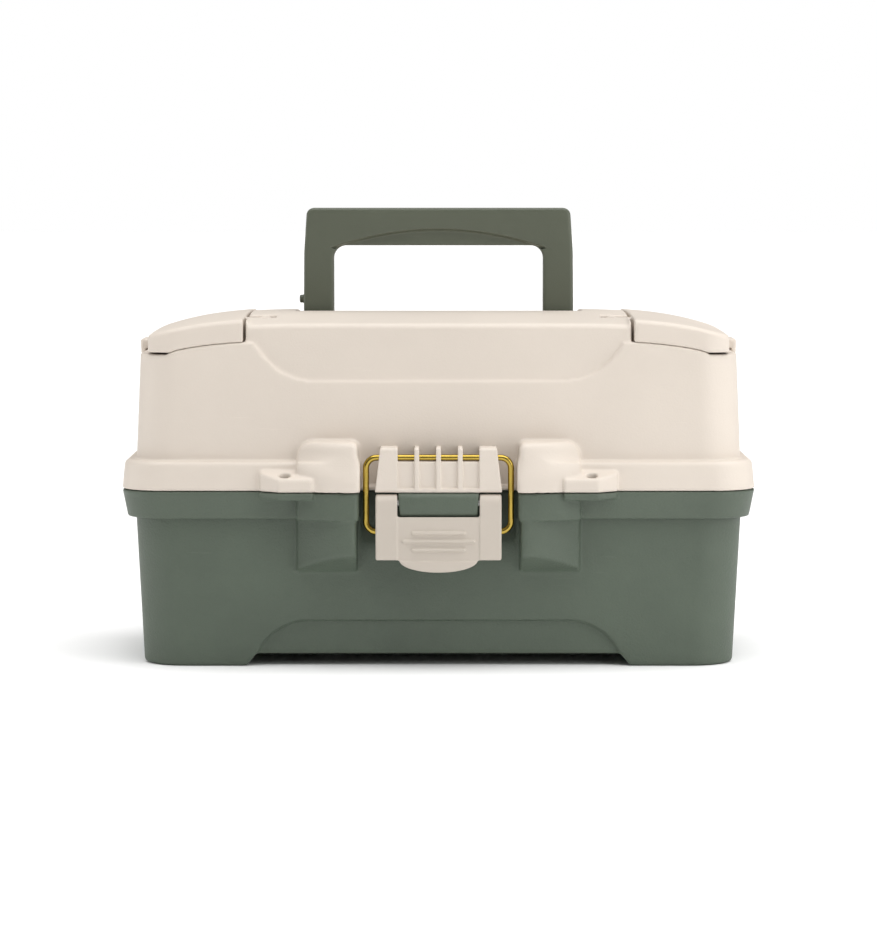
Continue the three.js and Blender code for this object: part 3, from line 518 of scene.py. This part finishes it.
def dome_height(x, y):
    """Top of the lid and doors: falling towards the ends, and crowned from front to back."""
    t = np.maximum(np.abs(x) - DOME_START, 0) / DOME_RUN
    crown = 1.6 + 3.9 * smooth_step((109 - np.abs(x)) / 2) - 0.8 * np.clip((np.abs(x) - 120) / 45, 0, 1)
    return TOP - DOME_FALL * t ** DOME_POWER - crown * (y / 80) ** 2


def dome(p, half_end, end_lean, lining=False):
    """The tapered, domed upper body; as a lining, its front panel has a gentle edge."""
    x, y, z = p
    lean = (z - SEAM) / 105
    if lining:
        panel = smooth_step((z - 156) / 4) * smooth_step((112 - np.abs(x)) / 4) * (y < 0)
    else:
        outline = [(-1, PANEL[0][1]), *PANEL, (-1, PANEL[-1][1])]
        panel = smooth_step(-polygon(np.abs(x), z, outline) / PANEL_EDGE) * (y < 0)
    side = rectangle(x, y, half_end - end_lean * lean, 84.1 - 4.3 * lean - 2.2 * panel, CORNER - 1)
    t = np.maximum(np.abs(x) - DOME_START, 0) / DOME_RUN
    slope = 1 / np.sqrt(1 + (DOME_FALL / DOME_RUN * DOME_POWER * t ** (DOME_POWER - 1)) ** 2)
    return round_and(side, (z - dome_height(x, y)) * slope, 3.2)


def lid_boss(p):
    x, y, z = p
    top = 128.7
    t = np.clip((np.abs(x) - BOSS_INNER - 3) / (BOSS_OUTER - BOSS_INNER - 3), 0, 1)
    depth = np.clip(y - BOSS_FRONT - 8.0 * t ** 2.4, 0, 6)
    fold = np.minimum(107 + 7 * t + 2.2 * depth, 117)
    low_part = round_and(boss_plan(x, y, 0), (z - fold) / 2.4, 1.2)
    body = round_and(boss_plan(x, y - 0.11 * (z - 108), 1.6, 14.0, 1.7), z - top - 0.03 * (y + 102), 4.5)
    outer = rectangle(np.abs(x) - 30, z - 60, BOSS_OUTER - 30, top - 60, 10.0)
    inner = rectangle(np.abs(x) - 90, z - 60, 90 - BOSS_INNER, top - 60, 4.0)
    return round_and(round_or(low_part, body, 2.5), np.maximum(outer, inner), 1.0)


def lid_outer(p, lining=False):
    x, y, z = p
    edge_x = RIM_HALF[0] - 1.5 * (z - SEAM) / RIM_HEIGHT
    edge_y = RIM_HALF[1] - 1.5 * (z - SEAM) / RIM_HEIGHT
    bay_room = np.maximum(np.abs(x) - BOSS_INNER, y - BAY_WALL)
    band = cut(round_and(rectangle(x, y, edge_x, edge_y, CORNER), z - 117.0, 3.0), bay_room, 0.8)
    bead = block(p, (-BOSS_INNER, -87, LID_BOTTOM - 2), (BOSS_INNER, -80, 102.8), 1.0)
    body = round_or(dome(p, 174.6, 4.3, lining), np.minimum(band, bead), 1.2)
    return round_or(body, lid_boss(p), 1.5)


def door_room(p, inner, drop):
    """Room for a top door, down to its lower edge; at the end it drops to leave a finger slot."""
    x, z = np.abs(p[0]), p[2]
    low = np.interp(x, LOW_X, LOW_Z).astype(np.float32) - np.where(x > 154, 3.2, 0.4) * drop
    return round_and(inner - x, (low - z) * 0.98, 0.6)


def well_room(p):
    x, y, z = np.abs(p[0]), p[1], p[2]
    plan = np.maximum(rectangle(x - 40, y, 126.3, 77.6, 20), 113.8 - x)
    return round_and(plan, np.maximum(158.4 - z, z - 215), 1.5)


def handle_room(p):
    return block(p, (-83.4, -12, 182.5), (83.4, 72, 225), 2.0)


def door_pivots(p, half_x, half_y, low, high):
    """One shape at each of the four door arms."""
    x, y = np.abs(p[0]), np.abs(p[1])
    middle = DOOR_AXIS[0] + 2.5
    q = (x, y, p[2])
    corner = (middle - half_x, DOOR_ARM_Y - half_y, low)
    return block(q, corner, (middle + half_x, DOOR_ARM_Y + half_y, high), 0.6)


def lid_field(p):
    x, y, z = p
    outer = lid_outer(p)
    body = cut(outer, lid_outer(p, True) + WALL, 0.6)
    wells, room = well_room(p), handle_room(p)
    pivot_blocks = door_pivots(p, 11, 13, DOOR_AXIS[2] - 8, 210)
    grip_blocks = block((np.abs(x), y, z), (80, -10, PIVOT_Z - 8), (90, 6, 210))
    end_wall = block((np.abs(x), y, z), (107.8, -90, 156), (113, 90, 210))
    inner = np.minimum(np.minimum(wells - WALL, room - WALL), np.minimum(pivot_blocks, grip_blocks))
    end_rim = np.maximum(166.0 - np.abs(x), 156.0 - z)  # solid under the door's end
    inner = np.minimum(inner, np.minimum(end_wall, end_rim))
    body = np.minimum(body, round_and(outer, inner, 0.3))
    body = round_or(body, padlock_tab(p, LID_BOTTOM, 107.6, 0.36), 0.8)
    posts = [rod((np.abs(x), y, z), 0, at, 4, 165.9, 173) for at in ((-16, 136), (24, 130))]
    body = np.minimum(body, np.minimum(*posts))
    body = cut(body, wells, 0.8)
    body = cut(body, room, 1.0)
    body = cut(body, door_room(p, DOOR_INNER - 1.5, 0.3), 0.7)
    body = cut(body, door_pivots(p, 8.7, 6.2, DOOR_AXIS[2] - 4.8, 225), 0.5)
    pivot = ((np.abs(x), y, z), 0, (PIVOT_Y, PIVOT_Z), HANDLE_BORE, 80, 87.6)
    body = cut(body, rod(*pivot), 0.2)
    body = cut(body, padlock_bore(p), 0.6)
    body = cut(body, hinge_room(p, -1, 8.3), 0.4)
    return round_and(body, LID_BOTTOM - z, 0.35)


def door_field(p):
    x, y, z = p
    sheet = round_and(round_and(dome(p, 176, 2), x - DOOR_END + 0.15, 1.2), DOOR_INNER - x, 1.0)
    low = np.interp(x, LOW_X, LOW_Z).astype(np.float32)
    body = round_and(sheet, (low - z) * 0.98, 0.4)
    body = cut(body, sheet + WALL, 0.5)
    tab = block(p, (DOOR_END - 2, -14, 177.7), (175.0, 14, 183.1), 1.0)
    lip = block(p, (172.2, -14, 174.3), (175.0, 14, 183.1), 1.0)
    body = round_or(body, round_or(tab, lip, 0.6), 0.8)
    q = (x, np.abs(y), z)
    arm_low, arm_high = DOOR_ARM_Y - 5.6, DOOR_ARM_Y + 5.6
    arm_start = (DOOR_AXIS[0], arm_low, DOOR_AXIS[2] - 3.6)
    arm = block(q, arm_start, (DOOR_INNER + 2, arm_high, DOOR_AXIS[2] + 3), 0.6)
    knuckle = rod(q, 1, (DOOR_AXIS[0], DOOR_AXIS[2]), 4, arm_low, arm_high, 0.6)
    body = np.minimum(body, round_or(arm, knuckle, 1.0))
    return cut(body, rod(q, 1, (DOOR_AXIS[0], DOOR_AXIS[2]), DOOR_BORE, 0, 80), 0.2)


# ---- Handle ---------------------------------------------------------------------------------------
def handle_field(p):
    x, y, z = p
    half = np.interp(z, [200, 234, 260], [79.4, 79.1, 77.4]).astype(np.float32)
    outer = rectangle(x, z - 200, half, HANDLE_HIGH[2] - 200, 4.0)
    opening = rectangle(x, z - 150, 61.6, 238 - 150, 7.5)
    middle = (HANDLE_LOW[1] + HANDLE_HIGH[1]) / 2
    reach = (HANDLE_HIGH[1] - HANDLE_LOW[1]) / 2
    round_end = np.hypot(y - PIVOT_Y, np.minimum(z - PIVOT_Z, 0)) - reach
    body = round_and(cut(outer, opening, 0.01), np.maximum(np.abs(y - middle) - reach, round_end), 1.8)
    scoop_top = 247.4 - 9.0 * (np.clip(np.abs(x) / 57, 0, 1.4)) ** 2
    scoop = round_and((z - scoop_top) * 0.95, y - (middle - reach + 3.0), 1.5)
    body = cut(body, np.maximum(scoop, 236 - z), 0.7)
    nub = rod(p, 0, (middle, 206.5), 2.4, -HANDLE_HIGH[0] - 2.6, -HANDLE_HIGH[0] + 1, 0.8)
    body = np.minimum(body, nub)
    return cut(body, rod((np.abs(x), y, z), 0, (PIVOT_Y, PIVOT_Z), HANDLE_BORE, 69.7, 90), 0.2)


# ---- Latch ----------------------------------------------------------------------------------------
def lever_field(p):
    x, y, z = p
    front, back = -103.0, LATCH_Y + 5
    half = LEVER_HIGH[0]
    shell = rectangle(y - (front + back) / 2, z - 80.6, (back - front) / 2, 18.6, 4.9)
    slant = (z - 62) * -0.78 + (y + 100.4) * 0.62
    body = round_and(round_and(shell, slant, 0.6), np.abs(x) - half, 1.3)
    flat = np.maximum(front - y, np.maximum(62 - z, z - 90))
    body = np.minimum(body, round_and(np.maximum(flat, y + 100.4), np.abs(x) - half, 1.0))
    tab = np.maximum(np.hypot(x / 22.2, np.minimum(z - 62, 0) / 7.1) * 7.1 - 7.1, z - 66)
    body = round_or(body, round_and(tab, np.abs(y + 101.9) - 1.3, 0.6), 0.8)
    q = (np.abs(x), y, z)
    body = cut(body, block(q, (-1, -120, 86.4), (23.3, -80, 120), 1.2), 0.6)
    body = cut(body, block(q, (-1, -100.4, 40), (33.1, -80, 84), 1.0), 0.4)
    body = cut(body, block(q, (-1, -100.4, 40), (23.3, -80, 88), 1.0), 0.4)
    body = cut(body, block(q, (-1, -120, 61.5), (23.3, front + 0.6, 120), 0.3), 0.3)
    for half_rib, height in ((14.3, 77.4), (19.7, 72.7), (14.3, 67.9)):
        rib = np.hypot(np.maximum(np.abs(x) - half_rib, 0), z - height) - 0.95
        body = round_or(body, round_and(rib, np.abs(y - front) - 0.6, 0.4), 0.4)
    body = cut(body, rod(p, 0, (LATCH_Y, LATCH_Z), LATCH_BORE, -40, 40), 0.2)
    return cut(body, rod(p, 0, (BAIL_Y, 77.8), 1.85, -40, 40), 0.2)


def keeper_field(p):
    x, y, z = p
    a = np.abs(x)
    half = 36.1 - 3.1 * (z - SEAM) / 25.5
    front = -100.7
    ribs = np.minimum(a, np.abs(a - 12.3)) - 1.4
    ends = round_and(23.1 - a, a - half, 0.9)
    teeth = np.minimum(ribs, ends)
    profile = round_and(front - y, np.maximum(z - 125.5, LID_BOTTOM - z), 1.6)
    profile = np.maximum(profile, y - BAY_WALL)
    slot = rectangle(y - BAIL_Y, z - 140, 2.1, 22.3, 1.6)
    body = cut(round_and(teeth, profile, 0.45), slot, 0.4)
    plate = block(p, (-24, front + 1.8, LID_BOTTOM), (24, front + 4.2, 117.7), 0.5)
    ledge = block(p, (-24, front + 0.2, LID_BOTTOM), (24, -82, 102.6), 0.5)
    return round_or(body, round_or(plate, ledge, 0.6), 0.4)


def knuckle_field(p):
    x, y, z = p
    low = np.maximum(86.8 - z, z - SEAM)
    nose = rectangle(y - (LATCH_Y + 11), z - 93.4, 15.2, 6.6, 3.6)
    body = round_and(nose, np.abs(x) - 21.9 - 0.08 * (z - 87), 0.8)
    return cut(np.maximum(body, low), rod(p, 0, (LATCH_Y, LATCH_Z), LATCH_BORE, -30, 30), 0.2)


def bail():
    """The wire bail, as a bent round wire through its corners."""
    low, high = node_box("latch_bail")
    radius = (high[1] - low[1]) / 2
    half, bottom, top = high[0] - radius, low[2] + radius, high[2] - radius
    wire_end = 33.8
    path = [(-wire_end, bottom)]
    bends = ((-half, bottom, 5.8, 270), (-half, top, 6.0, 180),
             (half, top, 6.0, 90), (half, bottom, 5.8, 0))
    for across, height, bend, start in bends:
        x = across - math.copysign(bend, across)
        z = height + (bend if height == bottom else -bend)
        turns = [math.radians(start - 9 * i) for i in range(11)]
        path += [(x + bend * math.cos(turn), z + bend * math.sin(turn)) for turn in turns]
    path.append((wire_end, bottom))
    curve = bpy.data.curves.new("latch_bail_wire", "CURVE")
    curve.dimensions = "3D"
    curve.bevel_depth = radius * MM
    curve.bevel_resolution = 6
    curve.use_fill_caps = True
    spline = curve.splines.new("POLY")
    spline.points.add(len(path) - 1)
    for point, (x, z) in zip(spline.points, path):
        point.co = (*((np.array([x, BAIL_Y, z]) + SHIFT) * MM), 1)
    piece = bpy.data.objects.new("latch_bail_wire", curve)
    bpy.context.scene.collection.objects.link(piece)
    curve.materials.append(BRASS)
    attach(piece, "latch_bail")
    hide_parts("latch_bail")
    return piece


# ---- Rear hinges ----------------------------------------------------------------------------------
def tub_leaf_field(p):
    x, y, z = p
    along = np.abs(np.abs(x) - HINGE_AXIS[0]) - 8.0
    web = polygon(y, z, [(88, 86), (98, 97.3), (94.5, 100.2), (88, 99.8)])
    eye = np.hypot(y - HINGE_Y, z - HINGE_AXIS[2]) - HINGE_EYE
    body = round_and(round_or(web, eye, 1.0), along, 0.6)
    return cut(body, np.hypot(y - HINGE_Y, z - HINGE_AXIS[2]) - HINGE_BORE, 0.2)


def lid_leaf_field(p):
    x, y, z = p
    along = np.abs(np.abs(x) - HINGE_AXIS[0])
    web = polygon(y, z, [(87, 114), (97.5, 104), (94.5, 100.2), (87, LID_BOTTOM)])
    eye = np.hypot(y - HINGE_Y, z - HINGE_AXIS[2]) - HINGE_EYE
    body = round_and(round_or(web, eye, 1.0), np.maximum(8.3 - along, along - 18), 0.6)
    return cut(body, np.hypot(y - HINGE_Y, z - HINGE_AXIS[2]) - HINGE_BORE, 0.2)


# ---- Trays ----------------------------------------------------------------------------------------
def tray_field(name, partition):
    low, high = node_box(name)
    y_low, y_high = low[1], high[1]
    middle, half_y = (y_low + y_high) / 2, (y_high - y_low) / 2
    pivots = [node_middle(f"{kind}_{name.split('_')[1]}_right") for kind in ("bracket_rivet", "tray_pin")]

    def row(p, start, end):
        x, y, z = p
        plan = rectangle(x, y - (start + end) / 2, high[0] - 2, (end - start) / 2, 4)
        spacing = 12.0
        rib = np.abs((x + spacing / 2) % spacing - spacing / 2)
        near_wall = np.minimum(y - start, end - y)
        groove = np.maximum(np.abs(rib - 1.9) - 0.55, near_wall - 1.0)
        plan = np.where(np.abs(x) < 150, np.maximum(plan, -groove), plan)
        return round_and(plan, low[2] + 1.6 - z, 1.2)

    def field(p):
        x, y, z = p
        upright = np.maximum(low[2] - z, z - high[2])
        body = round_and(rectangle(x, y - middle, high[0], half_y, 6), upright, 0.9)
        body = cut(body, row(p, y_low + 2, partition - 1), 0.5)
        body = cut(body, row(p, partition + 1, y_high - 2), 0.5)
        for pivot in pivots:
            body = cut(body, rod((np.abs(x), y, z), 0, pivot[1:], RIVET_BORE, 150, 170), 0.1)
        return body

    return field, low, high


# ---- Pins, rivets, plates and dividers: CAD solids re-made round and edged -------------------------
def spun(name, profile, axis, start, direction, material, body, sides=32):
    """A turned piece: (distance along, radius) profile spun about an axis from a start point, in mm."""
    rings, vertices, faces = len(profile), [], []
    for along, radius in profile:
        for i in range(sides):
            angle = 2 * math.pi * i / sides
            u, v = radius * math.cos(angle), radius * math.sin(angle)
            offset = along * direction
            point = {0: (offset, u, v), 1: (u, offset, v)}[axis]
            vertices.append((start + point + SHIFT) * MM)
    for r in range(rings - 1):
        for i in range(sides):
            j = (i + 1) % sides
            faces.append([r * sides + i, r * sides + j, (r + 1) * sides + j, (r + 1) * sides + i])
    mesh = bpy.data.meshes.new(name)
    ends = [list(range(sides))[::-1], list(range((rings - 1) * sides, rings * sides))]
    mesh.from_pydata(vertices, [], faces + ends)
    mesh.update()
    if (axis == 0) == (direction < 0):
        mesh.flip_normals()
    made = bpy.data.objects.new(name, mesh)
    bpy.context.scene.collection.objects.link(made)
    edge = made.modifiers.new("edge", "BEVEL")
    edge.width = 0.18 * MM
    edge.segments = 2
    edge.limit_method = "ANGLE"
    mesh.polygons.foreach_set("use_smooth", np.ones(len(mesh.polygons), bool))
    made.modifiers.new("normals", "WEIGHTED_NORMAL").keep_sharp = False
    mesh.materials.append(material)
    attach(made, body)
    return made


def remake_pins():
    for name in sorted(frame["nodes"]):
        body = frame["nodes"][name]["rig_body"]
        low, high = node_box(name)
        middle = (low + high) / 2
        if name.startswith(("hinge_pin", "handle_pin", "latch_pin", "door_pin")):
            axis = 1 if name.startswith("door_pin") else 0
            radius = (high[2] - low[2]) / 2
            start = middle.copy()
            start[axis] = low[axis]
            profile = [(0, radius), (high[axis] - low[axis], radius)]
            piece = spun(name + "_round", profile, axis, start, 1, STEEL, body)
            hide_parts(name)
        elif name.startswith(("arm_rivet", "tray_pin", "bracket_rivet", "bracket_screw")):
            head_out = name.startswith("tray_pin")
            side = 1 if middle[0] > 0 else -1
            direction = -side if head_out else side
            head = (high[2] - low[2]) / 2
            shank = 1.5 if "screw" in name else 2.0
            start = middle.copy()
            start[0] = low[0] if direction > 0 else high[0]
            length = high[0] - low[0]
            domed = [(0, head * 0.45), (0.12, head * 0.75), (0.45, head), (0.9, head)]
            profile = [*domed, (0.9, shank), (length, shank)]
            piece = spun(name + "_round", profile, 0, start, direction, STEEL, body)
            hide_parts(name)


def plate_field(outline, holes, x_low, x_high):
    """A stamped plate: rounded links through its pivots, bored, with eased edges."""

    def field(p):
        x, y, z = p
        body = outline(y, z)
        for (hy, hz), radius in holes:
            body = np.maximum(body, radius - np.hypot(y - hy, z - hz))
        return round_and(body, np.maximum(x_low - x, x - x_high), 0.35)

    return field


def link_outline(points, width):
    def outline(y, z):
        best = np.full(np.shape(y), 1e9, np.float32)
        for (y0, z0), (y1, z1) in zip(points, points[1:]):
            dy, dz = y1 - y0, z1 - z0
            t = np.clip(((y - y0) * dy + (z - z0) * dz) / (dy * dy + dz * dz), 0, 1)
            best = np.minimum(best, np.hypot(y - y0 - t * dy, z - z0 - t * dz))
        return best - width

    return outline


def linkage(step):
    def pivot(name):
        return tuple(node_middle(name)[1:])

    for side in ("left", "right"):
        name = f"arm_{side}"
        low, high = node_box(name)
        arm = [pivot(f"arm_rivet_{side}"), pivot(f"tray_pin_lower_{side}"), pivot(f"tray_pin_upper_{side}")]
        field = plate_field(link_outline(arm, 6), [(at, RIVET_BORE) for at in arm], low[0], high[0])
        moulding(f"{name}_plate", field, low, high, step, SHEET, name, name, smooth=0)
        name = f"lid_bracket_{side}"
        low, high = node_box(name)
        rivets = [pivot(f"bracket_rivet_lower_{side}"), pivot(f"bracket_rivet_upper_{side}")]
        screws = [pivot(f"bracket_screw_rear_{side}"), pivot(f"bracket_screw_front_{side}")]
        row = [rivets[0], (34, 104), *screws, rivets[1]]
        holes = [(at, RIVET_BORE) for at in rivets] + [(at, SCREW_BORE) for at in screws]
        field = plate_field(link_outline(row, 6), holes, low[0], high[0])
        moulding(f"{name}_plate", field, low, high, step, SHEET, "lid", name, smooth=0)


def dividers():
    for name, node in frame["nodes"].items():
        if name.startswith("divider"):
            node.data.materials.clear()
            node.data.materials.append(DIVIDER)
            edge = node.modifiers.new("edge", "BEVEL")
            edge.width = 0.5 * MM
            edge.segments = 3
            edge.limit_method = "ANGLE"


# ---- The assembly ---------------------------------------------------------------------------------
def doors(step):
    moulding("top_door_right_moulding", door_field, DOOR_LOW, DOOR_HIGH, step, DOOR_CREAM,
             "door_right", "top_door_right")

    def left_field(p):
        return door_field((-p[0], p[1], p[2]))

    low, high = node_box("top_door_left")
    moulding("top_door_left_moulding", left_field, low, high, step, DOOR_CREAM,
             "door_left", "top_door_left")


def build():
    quick = 1.0
    moulding("tub_moulding", tub_field, *node_box("base_tub"), FINE, GREEN, "base", "base_tub", keep=0.16)
    lid_low, lid_high = node_box("lid_shell")
    moulding("lid_moulding", lid_field, lid_low, lid_high, FINE, CREAM, "lid", "lid_shell", keep=0.16)
    doors(0.8 * quick)
    stub_room = 3  # so that the stub on the left leg isn't clipped
    moulding("handle_moulding", handle_field, HANDLE_LOW - stub_room, HANDLE_HIGH, 0.7 * quick, GRIP,
             "handle", "handle")
    moulding("lever_moulding", lever_field, *node_box("latch_lever"), 0.42 * quick, BEIGE,
             "latch_lever", "latch_lever")
    keeper_box = ((-36.4, -101, LID_BOTTOM), (36.4, -81, 125.8))
    moulding("keeper_moulding", keeper_field, *keeper_box, 0.42 * quick, CREAM, "lid", "lid_shell")
    knuckle_box = ((-23.3, -103, 86.6), (23.3, -81, SEAM))
    moulding("knuckle_moulding", knuckle_field, *knuckle_box, 0.5 * quick, GREEN, "base", "base_tub")
    for side in (-1, 1):
        name = "left" if side < 0 else "right"
        ends = sorted((side * (HINGE_AXIS[0] - 19), side * (HINGE_AXIS[0] + 19)))
        hinge_low, hinge_high = (ends[0], 86, 85), (ends[1], 99.2, 114.5)
        box = (hinge_low, hinge_high, 0.5 * quick)
        moulding(f"tub_hinge_{name}", tub_leaf_field, *box, GREEN, "base", "base_tub")
        moulding(f"lid_hinge_{name}", lid_leaf_field, *box, CREAM, "lid", "lid_shell")
    bail()
    for name, partition in (("tray_lower", -3), ("tray_upper", -33)):
        field, low, high = tray_field(name, partition)
        moulding(f"{name}_moulding", field, low, high, 0.9 * quick, TRAY, name, name, keep=0.2)
    linkage(0.5 * quick)
    remake_pins()
    dividers()


# ---- Stage ----------------------------------------------------------------------------------------
def stage():
    floor_material = Nodes("floor_paper")
    weave = floor_material.noise(30.0, 4.0, 0.5)
    shade = floor_material.remap(weave, 0.3, 0.7, 0.95, 0.97)
    grey = floor_material.add("ShaderNodeCombineColor", {"Red": shade, "Green": shade, "Blue": shade})
    material = floor_material.finish(Base_Color=grey.outputs["Color"], Roughness=0.9)
    bpy.ops.mesh.primitive_plane_add(size=30)
    floor = bpy.context.object
    floor.name = "floor"
    floor.data.materials.append(material)

    world = bpy.data.worlds.new("studio")
    bpy.context.scene.world = world
    world.use_nodes = True
    tree = world.node_tree
    ambient = tree.nodes["Background"]
    ambient.inputs["Color"].default_value = (1.0, 0.99, 0.98, 1)
    direction = tree.nodes.new("ShaderNodeSeparateXYZ")
    strength = tree.nodes.new("ShaderNodeMapRange")
    for socket, value in (("To Min", HORIZON), ("To Max", ZENITH)):
        strength.inputs[socket].default_value = value
    tree.links.new(tree.nodes.new("ShaderNodeTexCoord").outputs["Generated"], direction.inputs[0])
    tree.links.new(direction.outputs["Z"], strength.inputs["Value"])
    tree.links.new(strength.outputs["Result"], ambient.inputs["Strength"])
    seen = tree.nodes.new("ShaderNodeBackground")
    seen.inputs["Color"].default_value = (1.0, 1.0, 1.0, 1)
    chooser = tree.nodes.new("ShaderNodeMixShader")
    path = tree.nodes.new("ShaderNodeLightPath")
    tree.links.new(path.outputs["Is Camera Ray"], chooser.inputs["Fac"])
    tree.links.new(ambient.outputs[0], chooser.inputs[1])
    tree.links.new(seen.outputs[0], chooser.inputs[2])
    tree.links.new(chooser.outputs[0], tree.nodes["World Output"].inputs["Surface"])

    overhead = lamp("overhead", "SUN", OVERHEAD, (0, 0, 2), (-0.12, 0.1, -1.0))
    overhead.angle = math.radians(70)
    lamp("key", "AREA", KEY, (0.7, -0.6, 0.4), (-0.7, 0.6, -0.27)).size = 0.5
    lamp("left_edge", "AREA", LEFT_EDGE, (-1.2, -0.12, 0.4), (1.2, 0.12, -0.28)).size = 0.6
    lamp("right_edge", "AREA", RIGHT_EDGE, (1.2, -0.12, 0.4), (-1.2, 0.12, -0.28)).size = 0.6


def lamp(name, kind, energy, place, aim):
    """A light at a place in metres, facing along aim and hidden from the camera."""
    light = bpy.data.lights.new(name, kind)
    light.energy = energy
    made = bpy.data.objects.new(name, light)
    bpy.context.scene.collection.objects.link(made)
    made.location = place
    made.rotation_euler = Vector(aim).to_track_quat("-Z", "Y").to_euler()
    made.visible_camera = False
    return light


def camera():
    """The photograph's viewing angle: 2 m in front of the rim, looking down a little."""
    distance, height, look_down = 2.0, 0.28, math.radians(4.76)
    focal_pixels, image_height, sensor = 3533, 936, 36.0
    data = bpy.data.cameras.new("camera")
    data.sensor_width = sensor
    data.lens = focal_pixels / image_height * sensor
    data.clip_end = 50
    made = bpy.data.objects.new("camera", data)
    bpy.context.scene.collection.objects.link(made)
    made.location = (0, (SHIFT[1] - RIM_HALF[1]) * MM - distance, height + SHIFT[2] * MM)
    made.rotation_euler = (math.pi / 2 - look_down, 0, 0)
    bpy.context.scene.camera = made


bpy.context.scene.view_settings.view_transform = "Standard"
camera()
build()
stage()
